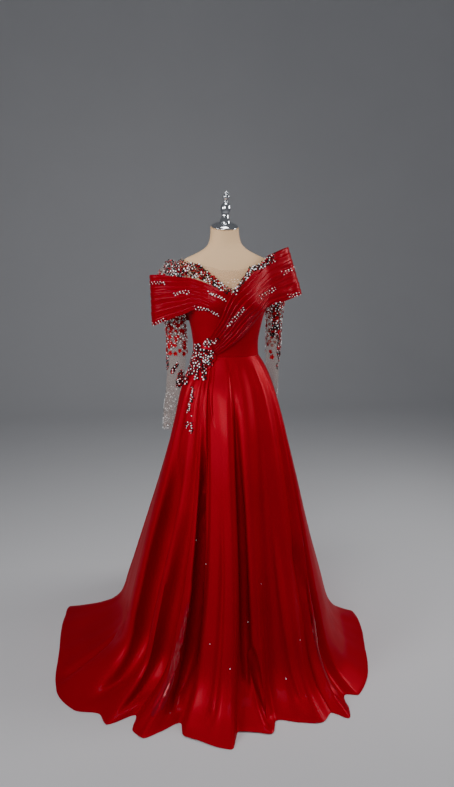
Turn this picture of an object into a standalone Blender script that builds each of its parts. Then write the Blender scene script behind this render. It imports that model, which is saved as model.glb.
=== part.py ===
"""Evening dress on a limbless dress form. Metres, Z up, front towards -Y, wearer's left towards +X.
Angles are in degrees from the front, growing towards the wearer's left."""

import math

import bpy
import numpy as np

for leftover in list(bpy.data.objects):
    bpy.data.objects.remove(leftover, do_unlink=True)

# Driving sizes
WAIST = 1.113  # height of the waist seam
BODICE_TOP = 1.315  # height of the top edge of the satin bodice, under the drapes
SEAM = 0.0004  # gap between pieces that are sewn to each other
SATIN = 0.0022  # wall of the satin pieces
NET = 0.0014  # wall of the net pieces
LINING = 0.0020  # from the form to the inside of the bodice
NET_LINING = 0.0031  # from the form to the inside of the yoke
NET_EASE = 0.0022  # more of the same on the shoulders
PLEATS = 8  # pleats across each drape
NECK_LEAN = 0.34  # slope of the cut neck, lower at the front
POLE_RADIUS = 0.016
BASE_RADIUS = 0.18
BASE_THICKNESS = 0.008
FORM_BOTTOM = 0.90

# The form, a row per height: height, right, left, front, back, centre behind the axis
FORM = [
    (0.900, 0.150, 0.150, 0.104, 0.112, 0.000),
    (0.950, 0.152, 0.152, 0.104, 0.115, 0.000),
    (1.000, 0.143, 0.143, 0.099, 0.108, 0.000),
    (1.060, 0.123, 0.123, 0.090, 0.088, 0.000),
    (1.110, 0.1145, 0.1145, 0.086, 0.078, 0.000),
    (1.150, 0.1125, 0.1125, 0.0885, 0.076, 0.000),
    (1.200, 0.1185, 0.1185, 0.099, 0.079, 0.000),
    (1.250, 0.1305, 0.1305, 0.112, 0.086, 0.000),
    (1.290, 0.1425, 0.1425, 0.119, 0.093, 0.000),
    (1.330, 0.150, 0.150, 0.116, 0.097, 0.000),
    (1.370, 0.156, 0.156, 0.105, 0.097, 0.000),
    (1.405, 0.161, 0.161, 0.092, 0.092, 0.000),
    (1.430, 0.160, 0.160, 0.080, 0.084, 0.001),
    (1.450, 0.140, 0.140, 0.069, 0.074, 0.003),
    (1.468, 0.102, 0.102, 0.060, 0.062, 0.006),
    (1.485, 0.073, 0.073, 0.054, 0.054, 0.010),
    (1.505, 0.056, 0.056, 0.051, 0.051, 0.014),
    (1.535, 0.050, 0.050, 0.049, 0.049, 0.020),
    (1.555, 0.049, 0.049, 0.049, 0.049, 0.024),
]
BUST_HEIGHT, BUST_ANGLE, BUST_DEPTH = 1.285, 34.0, 0.011

# The skirt before its folds, a row per height:
# height, right, left, front, back, share of the fold depth, squareness
SKIRT = [
    (0.000, 0.655, 0.555, 0.565, 0.700, 1.00, 2.00),
    (0.010, 0.610, 0.530, 0.547, 0.688, 0.97, 2.00),
    (0.024, 0.562, 0.500, 0.527, 0.668, 0.92, 2.00),
    (0.045, 0.498, 0.465, 0.500, 0.640, 0.86, 2.00),
    (0.075, 0.438, 0.440, 0.471, 0.608, 0.80, 2.00),
    (0.120, 0.396, 0.415, 0.440, 0.566, 0.74, 2.00),
    (0.220, 0.365, 0.384, 0.397, 0.502, 0.66, 2.00),
    (0.330, 0.333, 0.352, 0.357, 0.440, 0.57, 2.00),
    (0.480, 0.290, 0.312, 0.308, 0.362, 0.47, 2.00),
    (0.640, 0.244, 0.273, 0.262, 0.290, 0.37, 2.00),
    (0.790, 0.206, 0.235, 0.222, 0.228, 0.26, 2.00),
    (0.900, 0.181, 0.206, 0.190, 0.182, 0.17, 2.05),
    (1.000, 0.160, 0.175, 0.150, 0.137, 0.09, 2.15),
    (1.060, 0.137, 0.151, 0.115, 0.105, 0.045, 2.20),
    (1.113, 0.1190, 0.1190, 0.0905, 0.0825, 0.00, 2.25),
]
SKIRT_ROWS = [
    *(0.0022, 0.010, 0.024, 0.045, 0.078, 0.125, 0.20, 0.30),
    *(0.42, 0.55, 0.68, 0.80, 0.90, 0.98, 1.05, WAIST),
]

# The folds of the skirt, a row per ridge or hollow:
# angle at the hem, radius at the hem, angle at knee height, angle at the waist
FOLDS = [
    (-192.0, 0.650, -192.0, -192.0),
    (-180.0, 0.700, -180.0, -180.0),
    (-168.0, 0.655, -167.0, -167.0),
    (-156.0, 0.690, -155.0, -154.0),
    (-145.0, 0.575, -145.0, -144.0),
    (-125.0, 0.462, -127.0, -129.0),
    (-118.6, 0.580, -121.0, -123.0),
    (-114.5, 0.704, -116.0, -118.0),
    (-108.4, 0.684, -112.0, -113.0),
    (-86.6, 0.643, -92.0, -96.0),
    (-70.3, 0.668, -82.0, -84.0),
    (-65.7, 0.675, -78.0, -80.0),
    (-56.9, 0.660, -68.0, -66.0),
    (-50.0, 0.610, -59.0, -55.0),
    (-45.3, 0.626, -46.0, -48.0),
    (-40.5, 0.542, -35.0, -43.0),
    (-37.0, 0.600, -31.5, -40.5),
    (-32.6, 0.611, -28.0, -38.0),
    (-28.8, 0.565, -24.5, -35.0),
    (-24.3, 0.512, -21.7, -33.0),
    (-21.4, 0.560, -18.5, -29.5),
    (-16.4, 0.571, -14.0, -25.0),
    (-9.6, 0.594, -8.0, -15.0),
    (-6.0, 0.601, -4.0, -9.0),
    (-3.8, 0.530, 0.5, -3.0),
    (2.4, 0.541, 6.0, 8.0),
    (6.9, 0.556, 11.0, 17.0),
    (10.7, 0.506, 20.0, 29.0),
    (17.8, 0.543, 27.0, 38.0),
    (24.7, 0.577, 35.0, 47.0),
    (29.7, 0.562, 44.0, 57.0),
    (32.0, 0.616, 48.0, 61.0),
    (40.4, 0.543, 54.0, 66.0),
    (43.5, 0.579, 58.0, 70.0),
    (51.8, 0.573, 64.0, 74.0),
    (60.5, 0.559, 69.0, 78.0),
    (72.8, 0.541, 77.0, 82.0),
    (99.1, 0.562, 98.0, 98.0),
    (101.4, 0.480, 101.5, 102.0),
    (115.0, 0.460, 115.0, 115.0),
    (134.0, 0.600, 134.0, 134.0),
    (145.0, 0.580, 145.0, 145.0),
    (158.0, 0.690, 158.0, 158.0),
    (168.0, 0.655, 168.0, 168.0),
    (180.0, 0.700, 180.0, 180.0),
    (192.0, 0.655, 192.0, 192.0),
]
KNEE = 0.48  # share of the way down from the waist at which the third column of the folds holds

# The deepest hollows between the folds, a row each:
# fold at its top, fold at its foot, top height, foot height, half width in degrees, depth
HOLLOWS = [
    (-48.5, -53.5, 0.800, 0.015, 3.0, 0.026),
    (-42.6, -43.6, 0.600, 0.020, 1.6, 0.014),
    (-30.4, -27.0, 0.850, 0.020, 2.0, 0.022),
    (-0.6, 0.4, 1.020, 0.090, 2.3, 0.020),
    (3.0, 7.0, 0.200, 0.010, 1.6, 0.012),
    (30.0, 34.0, 0.500, 0.040, 1.8, 0.012),
]

# Each drape, a row per section along it:
# top edge x, y, z, lower edge x, y, z, height over the form, depth of the pleats
DRAPE_RIGHT = [
    (0.030, -0.118, 1.318, 0.020, -0.112, 1.222, 0.0054, 0.0002),
    (0.000, -0.119, 1.332, -0.012, -0.111, 1.237, 0.0054, 0.0002),
    (-0.029, -0.115, 1.343, -0.036, -0.115, 1.250, 0.0054, 0.0005),
    (-0.061, -0.108, 1.358, -0.060, -0.119, 1.262, 0.0050, 0.0018),
    (-0.100, -0.092, 1.374, -0.092, -0.113, 1.275, 0.0050, 0.0028),
    (-0.131, -0.074, 1.383, -0.118, -0.095, 1.276, 0.0055, 0.0028),
    (-0.165, -0.062, 1.387, -0.150, -0.074, 1.262, 0.0060, 0.0028),
    (-0.198, -0.047, 1.390, -0.185, -0.055, 1.249, 0.0060, 0.0028),
    (-0.231, -0.025, 1.394, -0.220, -0.032, 1.233, 0.0060, 0.0028),
    (-0.2575, -0.004, 1.394, -0.2525, -0.011, 1.219, 0.0060, 0.0020),
    (-0.263, 0.012, 1.393, -0.259, 0.008, 1.217, 0.0060, 0.0014),
    (-0.256, 0.030, 1.391, -0.252, 0.027, 1.218, 0.0060, 0.0020),
    (-0.225, 0.085, 1.386, -0.222, 0.088, 1.225, 0.0060, 0.0026),
    (-0.175, 0.128, 1.380, -0.172, 0.133, 1.228, 0.0060, 0.0026),
    (-0.115, 0.128, 1.372, -0.112, 0.130, 1.226, 0.0060, 0.0026),
    (-0.060, 0.100, 1.366, -0.058, 0.094, 1.222, 0.0055, 0.0024),
    (0.000, 0.094, 1.362, 0.000, 0.080, 1.218, 0.0055, 0.0018),
]
DRAPE_LEFT = [
    (-0.096, -0.054, 1.132, -0.053, -0.081, 1.1165, 0.0054, 0.0008),
    (-0.072, -0.076, 1.162, -0.026, -0.090, 1.130, 0.0055, 0.0014),
    (-0.054, -0.101, 1.205, 0.004, -0.097, 1.151, 0.0085, 0.0026),
    (-0.032, -0.121, 1.250, 0.038, -0.100, 1.181, 0.0112, 0.0028),
    (-0.015, -0.130, 1.298, 0.066, -0.100, 1.211, 0.0112, 0.0028),
    (0.004, -0.125, 1.331, 0.088, -0.099, 1.240, 0.0112, 0.0028),
    (0.044, -0.111, 1.366, 0.110, -0.093, 1.263, 0.0085, 0.0028),
    (0.083, -0.090, 1.404, 0.132, -0.076, 1.281, 0.0065, 0.0028),
    (0.118, -0.068, 1.437, 0.160, -0.060, 1.292, 0.0060, 0.0028),
    (0.155, -0.049, 1.461, 0.200, -0.042, 1.301, 0.0060, 0.0028),
    (0.191, -0.029, 1.478, 0.240, -0.022, 1.313, 0.0060, 0.0026),
    (0.218, -0.008, 1.489, 0.271, -0.006, 1.3235, 0.0060, 0.0020),
    (0.224, 0.006, 1.491, 0.279, 0.010, 1.326, 0.0060, 0.0014),
    (0.219, 0.024, 1.489, 0.273, 0.030, 1.323, 0.0060, 0.0020),
    (0.192, 0.078, 1.475, 0.237, 0.090, 1.305, 0.0060, 0.0026),
    (0.152, 0.118, 1.452, 0.178, 0.134, 1.280, 0.0060, 0.0026),
    (0.105, 0.122, 1.422, 0.115, 0.130, 1.250, 0.0060, 0.0026),
    (0.055, 0.100, 1.388, 0.058, 0.094, 1.228, 0.0055, 0.0024),
    (0.000, 0.094, 1.362, 0.000, 0.080, 1.218, 0.0055, 0.0018),
]

# The armhole in the net yoke: height, angle from the centre line to its edge
ARMHOLE = [
    (1.315, 90.0),
    (1.326, 83.0),
    (1.345, 70.0),
    (1.375, 63.0),
    (1.400, 63.0),
    (1.415, 67.0),
    (1.428, 76.0),
    (1.438, 88.0),
    (1.442, 90.0),
    (1.460, 90.0),
]
ARMHOLE_MIDDLE, ARMHOLE_HALF = 1.3764, 0.0574  # height of its middle and half its height
ARMHOLE_INSET = 1.74  # degrees from its edge to the sleeve
NECKLINE_FRONT, NECKLINE_BACK, NECKLINE_SIDE = 1.409, 1.430, 1.455

# Each sleeve, a row per section from the armhole down:
# centre x, y, z, half width outwards, half depth, lean of the section
SLEEVE_RIGHT = [
    (-0.1830, 0.018, 1.390, 0.0570, 0.050, 74.0),
    (-0.1950, 0.034, 1.366, 0.0480, 0.050, 42.0),
    (-0.1920, 0.050, 1.328, 0.0420, 0.046, 18.0),
    (-0.1830, 0.066, 1.280, 0.0375, 0.042, 7.0),
    (-0.1750, 0.086, 1.220, 0.0350, 0.035, 2.0),
    (-0.1690, 0.098, 1.150, 0.0340, 0.031, 0.0),
    (-0.1725, 0.106, 1.050, 0.0335, 0.028, 0.0),
    (-0.1780, 0.124, 0.960, 0.0325, 0.026, 0.0),
    (-0.1900, 0.152, 0.880, 0.0300, 0.024, 0.0),
    (-0.1950, 0.184, 0.800, 0.0280, 0.022, 0.0),
]
SLEEVE_LEFT = [
    (0.1810, 0.022, 1.390, 0.0560, 0.046, 74.0),
    (0.1950, 0.040, 1.366, 0.0480, 0.046, 42.0),
    (0.1960, 0.056, 1.328, 0.0390, 0.044, 18.0),
    (0.1940, 0.070, 1.280, 0.0300, 0.042, 7.0),
    (0.1950, 0.082, 1.220, 0.0255, 0.040, 2.0),
    (0.1960, 0.092, 1.150, 0.0240, 0.038, 0.0),
    (0.1970, 0.108, 1.050, 0.0235, 0.035, 0.0),
    (0.1985, 0.130, 0.960, 0.0230, 0.032, 0.0),
    (0.2020, 0.164, 0.880, 0.0220, 0.028, 0.0),
    (0.2040, 0.200, 0.800, 0.0215, 0.025, 0.0),
]

# The hip ornament
ORNAMENT_ANGLE, ORNAMENT_HEIGHT = -46.0, 1.113
ORNAMENT_WIDE, ORNAMENT_TALL = 19.0, 0.041  # half width in degrees, half height
ORNAMENT_PETALS, ORNAMENT_DOME, ORNAMENT_WALL = 6, 0.006, 0.003

# The neck cap and its finial, a row per turning: radius, height over the cut neck
NECK_CAP = [
    (0.0465, 0.0),
    (0.0480, 0.003),
    (0.0430, 0.008),
    (0.0320, 0.0130),
    (0.0215, 0.0165),
    (0.0205, 0.0170),
]
FINIAL = [
    (0.0190, 0.0),
    (0.0180, 0.005),
    (0.0140, 0.014),
    (0.0125, 0.022),
    (0.0135, 0.028),
    (0.0165, 0.036),
    (0.0185, 0.046),
    (0.0170, 0.056),
    (0.0110, 0.064),
    (0.0065, 0.069),
    (0.0075, 0.074),
    (0.0115, 0.080),
    (0.0128, 0.085),
    (0.0110, 0.090),
    (0.0065, 0.094),
    (0.0075, 0.099),
    (0.0055, 0.103),
]
FINIAL_LEAN = 3.0  # degrees towards the wearer's left


def curve(rows, at):
    """The columns of a table at the given places of its first column, with no overshoot."""
    rows = np.asarray(rows, float)
    where, cols = rows[:, 0], rows[:, 1:]
    step = np.diff(where)[:, None]
    rise = np.diff(cols, axis=0) / step
    before, after = rise[:-1], rise[1:]
    steady = before * after > 0
    near, far = 2 * step[1:] + step[:-1], step[1:] + 2 * step[:-1]
    shared = near / np.where(steady, before, 1) + far / np.where(steady, after, 1)
    slope = np.vstack([rise[:1], np.where(steady, (near + far) / shared, 0), rise[-1:]])
    at = np.clip(np.asarray(at, float), where[0], where[-1])
    i = np.clip(np.searchsorted(where, at) - 1, 0, len(where) - 2)
    width = (where[i + 1] - where[i])[..., None]
    t = (at - where[i])[..., None] / width
    low = cols[i] * (1 + 2 * t) + width * slope[i] * t
    high = cols[i + 1] * (3 - 2 * t) + width * slope[i + 1] * (t - 1)
    return np.moveaxis(low * (1 - t) ** 2 + high * t**2, -1, 0)


def ring(angle, right, left, front, back, power):
    """Radius of a rounded outline with a different reach to each side."""
    across, ahead = np.sin(np.radians(angle)), np.cos(np.radians(angle))
    side = np.where(across > 0, left, right)
    fore = np.where(ahead > 0, front, back)
    return (np.abs(across / side) ** power + np.abs(ahead / fore) ** power) ** (-1 / power)


def around(angle, radius, height, centre=0.0):
    """Points at these angles and radii about the upright axis."""
    turn = np.radians(angle)
    return np.stack([radius * np.sin(turn), centre - radius * np.cos(turn), height + 0 * radius], axis=-1)


def form_ring(angle, height):
    """Radius of the form and how far its ring's centre lies behind the axis."""
    right, left, front, back, centre = curve(FORM, height)
    radius = ring(angle, right, left, front, back, 2.25)
    rise = np.exp(-(((height - BUST_HEIGHT) / 0.045) ** 2))
    for side in (-BUST_ANGLE, BUST_ANGLE):
        radius = radius + BUST_DEPTH * rise * np.exp(-(((angle - side) / 24) ** 2))
    return radius, centre


def on_form(angle, height, over):
    """Points this far off the form, measured square to it."""
    radius, centre = form_ring(angle, height)
    slope = (form_ring(angle, height + 0.003)[0] - form_ring(angle, height - 0.003)[0]) / 0.006
    return around(angle, radius + over * np.sqrt(1 + slope**2), height, centre)


def clear_of_form(points, over):
    """The points, with those nearer to the form than this moved straight out."""
    x, y, z = np.moveaxis(points, -1, 0)
    centre = curve(FORM, z)[4]
    angle = np.degrees(np.arctan2(x, centre - y))
    least = form_ring(angle, z)[0] + over
    radius = np.hypot(x, y - centre)
    out = 0.5 * (radius + least + np.sqrt((radius - least) ** 2 + 0.004**2))
    out = np.where(z > FORM[-1][0], radius, np.maximum(out, least))
    return around(angle, out, z, centre)


def hollow(fold, height):
    """How far the hollows draw the skirt in."""
    drawn = 0
    for top_fold, foot_fold, top, foot, wide, depth in HOLLOWS:
        along = (top - height) / (top - foot)
        place = top_fold + (foot_fold - top_fold) * np.clip(along, 0, 1)
        share = np.clip(5 * np.minimum(along, 1 - along), 0, 1)
        share = share**2 * (3 - 2 * share)
        drawn = drawn + depth * share * np.exp(-(((fold - place) / wide) ** 2))
    return drawn


def skirt_outside(fold, height):
    """The outer face of the skirt. A fold is named by its angle at the hem."""
    fold, height = np.broadcast_arrays(np.asarray(fold, float), np.asarray(height, float))
    reach, knee, waist = curve(FOLDS, fold)
    down = 1 - height / WAIST
    angle = waist * (down - KNEE) * (down - 1) / KNEE
    angle = angle + knee * down * (down - 1) / (KNEE * (KNEE - 1))
    angle = angle + fold * down * (down - KNEE) / (1 - KNEE)
    depth = reach - ring(fold, *SKIRT[0][1:5], 2.0)
    *sides, share, power = curve(SKIRT, height)
    radius = ring(angle, *sides, power) + depth * share - hollow(fold, height)
    return around(angle, radius, height)


def drape_surface(rows):
    """The inner face of a drape before pleating, and the depth of its pleats, at places along and across it."""
    rows = np.asarray(rows, float)
    middle = (rows[:, 0:3] + rows[:, 3:6]) / 2
    along = np.concatenate([[0], np.cumsum(np.linalg.norm(np.diff(middle, axis=0), axis=1))])
    table = np.column_stack([along / along[-1], rows])

    def shape(u, v):
        cols = curve(table, u)
        v = np.asarray(v, float)
        points = np.moveaxis(cols[0:3] * (1 - v) + cols[3:6] * v, 0, -1)
        return clear_of_form(points, cols[6])

    def pleats(u, v):
        share = (np.asarray(v) * PLEATS) % 1.0
        return curve(table, u)[7] * np.interp(share, [0, 0.25, 1], [0, 1, 0])

    return shape, pleats


def net_over(height):
    """How far the inside of the net lies off the form."""
    return NET_LINING + NET_EASE * np.interp(height, [1.39, 1.425], [0, 1])


def armhole(turn, side):
    """Points round the armhole, just inside its edge: above at 0 degrees, behind at 90."""
    turn = np.radians(turn)
    height = ARMHOLE_MIDDLE + ARMHOLE_HALF * np.cos(turn)
    open_by = np.maximum(90 - curve(ARMHOLE, height)[0] - ARMHOLE_INSET, 0)
    open_by = open_by * np.clip(2.1 * np.sin(turn), -1, 1)
    return on_form(side * (90 + open_by), height, net_over(height))


def sleeve_surface(rows):
    """The inner face of a sleeve, at an angle round it and a section along it. Section 0 is the armhole."""
    rows = np.asarray(rows, float)
    table = np.column_stack([np.arange(1, len(rows) + 1), rows])
    side = 1.0 if rows[0, 0] > 0 else -1.0

    def shape(turn, section):
        turn, section = np.broadcast_arrays(np.asarray(turn, float), np.asarray(section, float))
        x, y, z, wide, deep, lean = curve(table, section)
        head = np.clip(1 - section, 0, 1)[..., None] ** 1.5
        lean = np.radians(lean)
        away, back = wide * np.cos(np.radians(turn)), deep * np.sin(np.radians(turn))
        tube = np.stack([x + side * away * np.cos(lean), y + back, z + away * np.sin(lean)], axis=-1)
        return armhole(turn, side) * head + tube * (1 - head)

    return shape


def yoke_outside(middle, neckline):
    """The outer face of the net yoke, front or back of the armholes."""

    def shape(u, v):
        u, v = np.broadcast_arrays(np.asarray(u, float), np.asarray(v, float))
        top = neckline + (NECKLINE_SIDE - neckline) * np.abs(u) ** 2.5
        height = BODICE_TOP + SEAM + (top - BODICE_TOP - SEAM) * v
        return on_form(middle + u * curve(ARMHOLE, height)[0], height, net_over(height) + NET)

    return shape


def material(name, colour, metallic=0.0, roughness=0.5, sheen=0.0):
    made = bpy.data.materials.new(name)
    made.use_nodes = True
    shader = made.node_tree.nodes["Principled BSDF"]
    shader.inputs["Base Color"].default_value = (*colour, 1.0)
    shader.inputs["Metallic"].default_value = metallic
    shader.inputs["Roughness"].default_value = roughness
    shader.inputs["Sheen Weight"].default_value = sheen
    return made


SATIN_LOOK = material("satin", (0.42, 0.005, 0.012), roughness=0.32)
NET_LOOK = material("net", (0.72, 0.48, 0.38), roughness=0.8)
FORM_LOOK = material("form_cover", (0.80, 0.55, 0.40), roughness=0.8)
CRYSTAL_LOOK = material("crystal", (0.75, 0.75, 0.80), metallic=0.6, roughness=0.15)
CHROME_LOOK = material("chrome", (0.80, 0.80, 0.80), metallic=1.0, roughness=0.08)
STAND_LOOK = material("stand", (0.75, 0.75, 0.76), metallic=1.0, roughness=0.25)


def make_object(name, points, faces, look):
    mesh = bpy.data.meshes.new(name)
    mesh.from_pydata([tuple(p) for p in points], [], [tuple(f) for f in faces])
    mesh.update()
    mesh.shade_smooth()
    mesh.set_sharp_from_angle(angle=math.radians(40))
    mesh.materials.append(look)
    made = bpy.data.objects.new(name, mesh)
    bpy.context.scene.collection.objects.link(made)
    return made


def facing(shape, u, v, step):
    """Unit normals of a surface and unit directions across its lines of equal u, by differences."""
    along = shape(u + step[0], v) - shape(u - step[0], v)
    down = shape(u, v + step[1]) - shape(u, v - step[1])
    normal = np.cross(along, down)
    normal /= np.linalg.norm(normal, axis=-1, keepdims=True)
    across = np.cross(down, normal)
    return normal, across / np.linalg.norm(across, axis=-1, keepdims=True)


def wall(
    name, shape, us, vs, look, inner, outer, step,
    side=1, closed=False, seams=(True, True), levels=(), floor=False,
):
    """A closed wall on a surface, between two offsets along its normals, which may be grids."""
    u, v = np.meshgrid(us, vs)
    normal, across = facing(shape, u, v, step)
    middle = shape(u, v)
    for at, seam, sense in ((0, seams[0], 1), (-1, seams[1], -1)):
        if seam and not closed:
            middle[:, at] += sense * across[:, at] * SEAM / 2
    inside = middle + side * normal * np.broadcast_to(inner, u.shape)[..., None]
    outside = middle + side * normal * np.broadcast_to(outer, u.shape)[..., None]
    for row, height in levels:
        inside[row, :, 2] = outside[row, :, 2] = height
    if floor:
        inside[..., 2] = np.maximum(inside[..., 2], 0.0)
    rows, cols = u.shape
    points = np.concatenate([outside.reshape(-1, 3), inside.reshape(-1, 3)])
    return make_object(name, points, wall_faces(rows, cols, closed, side), look)


def wall_faces(rows, cols, closed, side):
    """Triangles of both faces of a wall, cut the same way on each, and of the edges that join them."""
    grid = np.arange(rows * cols).reshape(rows, cols)
    if closed:
        grid = np.hstack([grid, grid[:, :1]])
    a, b, c, d = grid[:-1, :-1], grid[:-1, 1:], grid[1:, 1:], grid[1:, :-1]
    halves = [np.stack([a, b, c], -1), np.stack([a, c, d], -1)]
    front = np.concatenate([half.reshape(-1, 3) for half in halves])
    inside = rows * cols
    faces = [front, front[:, ::-1] + inside]
    edges = [grid[0, :], grid[-1, ::-1]]
    if not closed:
        edges += [grid[::-1, 0], grid[:, -1]]
    for edge in edges:
        p, q = edge[:-1], edge[1:]
        faces += [np.stack([q, p, p + inside], -1), np.stack([q, p + inside, q + inside], -1)]
    faces = np.concatenate(faces)
    return faces if side > 0 else faces[:, ::-1]


def loft(name, rings, look):
    """A closed solid through rings of equal count, the first at the bottom."""
    count = len(rings[0])
    points = np.concatenate(rings)
    faces = []
    for low in range(0, len(points) - count, count):
        for i in range(count):
            j = (i + 1) % count
            faces.append((low + i, low + j, low + count + j, low + count + i))
    faces.append(tuple(range(count - 1, -1, -1)))
    faces.append(tuple(range(len(points) - count, len(points))))
    return make_object(name, points, faces, look)


def turned(name, rows, steps, look, place=None):
    """A solid of revolution from rows of radius and height."""
    turn = np.linspace(0, 360, steps, endpoint=False)
    rings = [around(turn, np.full(steps, radius), height) for radius, height in rows]
    if place is not None:
        rings = [place(ring_points) for ring_points in rings]
    return loft(name, rings, look)


def split(places, most):
    """The places with even ones added, so that none are further apart than this."""
    made = [places[0]]
    for low, high in zip(places[:-1], places[1:]):
        count = max(1, math.ceil((high - low) / most - 0.01))
        made += [low + (high - low) * (k + 1) / count for k in range(count)]
    return np.array(made)


def leaning(points, amount):
    """The points with the neck's slope, nothing below the shoulders and all of it at the cut."""
    points = np.array(points, float)
    share = np.clip((points[..., 2] - 1.49) / 0.05, 0, 1)
    points[..., 2] += amount * share * points[..., 1]
    return points


def form_torso():
    turn = np.linspace(-180, 180, 36, endpoint=False)
    heights = [FORM_BOTTOM, 0.95, 1.00, 1.06, 1.11, 1.16, 1.21, 1.25, 1.285, 1.32]
    heights += [1.36, 1.40, 1.43, 1.45, 1.468, 1.485, 1.505, 1.53, 1.55]
    rings = [leaning(on_form(turn, np.full(36, height), 0.0), NECK_LEAN) for height in heights]
    loft("form_torso", rings, FORM_LOOK)


def on_neck(points):
    """Points of a turned piece set on the sloping cut of the neck."""
    points = np.array(points, float)
    lean = math.atan(NECK_LEAN)
    y, z = points[:, 1].copy(), points[:, 2].copy()
    points[:, 1] = 0.0235 + y * math.cos(lean) - z * math.sin(lean)
    points[:, 2] = 1.5586 + y * math.sin(lean) + z * math.cos(lean)
    return points


def on_cap(points):
    """Points of the finial, its foot cut to the slope of the cap, with its own lean."""
    points = np.array(points, float)
    x, y, z = points.T.copy()
    lean = math.radians(FINIAL_LEAN)
    points[:, 0] = x + z * math.sin(lean)
    points[:, 1] = y + 0.018
    points[:, 2] = 1.5752 + z + NECK_LEAN * y * np.clip(1 - z / 0.020, 0, 1)
    return points


def neck_parts():
    turned("neck_cap", NECK_CAP, 24, CHROME_LOOK, on_neck)
    turned("neck_finial", FINIAL, 14, CHROME_LOOK, on_cap)


def stand():
    base = [
        (BASE_RADIUS - 0.002, 0.0),
        (BASE_RADIUS, 0.002),
        (BASE_RADIUS, BASE_THICKNESS - 0.002),
        (BASE_RADIUS - 0.003, BASE_THICKNESS),
    ]
    turned("stand_base", base, 32, STAND_LOOK)
    pole = [(POLE_RADIUS, BASE_THICKNESS + SEAM), (POLE_RADIUS, FORM_BOTTOM - SEAM)]
    turned("stand_pole", pole, 16, STAND_LOOK)


def bodice_inside(angle, height):
    return on_form((angle + 180) % 360 - 180, height, LINING)


def bodice():
    heights = [WAIST + SEAM, 1.15, 1.20, 1.24, 1.27, 1.295, BODICE_TOP]
    levels = ((0, WAIST + SEAM), (-1, BODICE_TOP))
    for name, start, end, count in (
        ("bodice_front", -90, 90, 18),
        ("bodice_back_left", 90, 180, 9),
        ("bodice_back_right", 180, 270, 9),
    ):
        angles = np.linspace(start, end, count + 1)
        wall(name, bodice_inside, angles, heights, SATIN_LOOK, 0, SATIN, (0.01, 0.001), levels=levels)


def yoke():
    rows = [0, 0.08, 0.17, 0.30, 0.45, 0.607, 0.714, 0.76, 0.807, 0.843, 0.879, 0.907, 0.953, 1.0]
    half = np.sin(np.radians(np.linspace(0, 90, 9)))
    for name, middle, columns in (
        ("yoke_front", 0, np.concatenate([-half[:0:-1], half])),
        ("yoke_back_left", 180, -half[::-1]),
        ("yoke_back_right", 180, half),
    ):
        shape = yoke_outside(middle, NECKLINE_FRONT if middle == 0 else NECKLINE_BACK)
        levels = ((0, BODICE_TOP + SEAM),)
        wall(name, shape, columns, rows, NET_LOOK, -NET, 0, (0.0005, 0.002), levels=levels)


def drapes():
    places = sorted({(k + share) / PLEATS for k in range(PLEATS) for share in (0, 0.25)} | {1.0})
    for name, rows, count, side in (
        ("drape_right", DRAPE_RIGHT, 28, 1),
        ("drape_left", DRAPE_LEFT, 32, -1),
    ):
        shape, pleats = drape_surface(rows)
        along = np.linspace(0, 1, count + 1)
        relief = pleats(*np.meshgrid(along, places))
        wall(
            name, shape, along, places, SATIN_LOOK, relief, relief + SATIN, (0.002, 0.004),
            side=side, seams=(False, True),
        )


def sleeves():
    turn = np.linspace(0, 360, 16, endpoint=False)
    for name, rows, side in (("sleeve_right", SLEEVE_RIGHT, 1), ("sleeve_left", SLEEVE_LEFT, -1)):
        sections = np.linspace(0, len(rows), 16)
        shape = sleeve_surface(rows)
        wall(name, shape, turn, sections, NET_LOOK, 0, NET, (1.0, 0.02), side=side, closed=True)


def skirt():
    marks = [row[0] for row in FOLDS]
    for name, start, end, most in (
        ("skirt_back_right", -180.0, -125.0, 8.5),
        ("skirt_side_right", -125.0, -40.5, 5.5),
        ("skirt_front", -40.5, 29.7, 4.5),
        ("skirt_side_left", 29.7, 115.0, 7.0),
        ("skirt_back_left", 115.0, 180.0, 8.5),
    ):
        folds = split([mark for mark in marks if start <= mark <= end], most)
        wall(
            name, skirt_outside, folds, SKIRT_ROWS, SATIN_LOOK, -SATIN, 0, (0.05, 0.0005),
            levels=((-1, WAIST),), floor=True,
        )


def ornament_inside(u, v):
    """The back of a rounded patch with petals, over the end of the left drape and the top of the skirt."""
    u, v = np.broadcast_arrays(np.asarray(u, float), np.asarray(v, float))
    across, up = u * np.sqrt(1 - v**2 / 2), v * np.sqrt(1 - u**2 / 2)
    petal = 1 + 0.10 * np.cos(ORNAMENT_PETALS * np.arctan2(up, across)) * np.hypot(across, up)
    angle = ORNAMENT_ANGLE + ORNAMENT_WIDE * across * petal
    height = ORNAMENT_HEIGHT + ORNAMENT_TALL * up * petal
    over = form_ring(angle, height)[0] + 0.0128
    skirt_over = ring(angle, *curve(SKIRT, height)[:4], 2.2) + 0.0040
    radius = 0.5 * (over + skirt_over + np.sqrt((over - skirt_over) ** 2 + 0.003**2))
    return around(angle, radius, height)


def ornament():
    places = np.linspace(-1, 1, 10)
    u, v = np.meshgrid(places, places)
    dome = ORNAMENT_DOME * (1 - u**2 * (1 - v**2 / 2) - v**2 * (1 - u**2 / 2))
    wall(
        "hip_ornament", ornament_inside, places, places, CRYSTAL_LOOK, 0, ORNAMENT_WALL + dome,
        (0.002, 0.002), seams=(False, False),
    )


form_torso()
neck_parts()
stand()
bodice()
yoke()
drapes()
sleeves()
skirt()
ornament()
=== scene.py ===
"""Evening dress on a limbless dress form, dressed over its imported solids. Metres, Z up, front towards -Y,
wearer's left towards +X. Angles are in degrees from the front, growing towards the wearer's left."""

import math

import bpy
import numpy as np
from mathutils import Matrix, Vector
from mathutils.bvhtree import BVHTree


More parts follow.
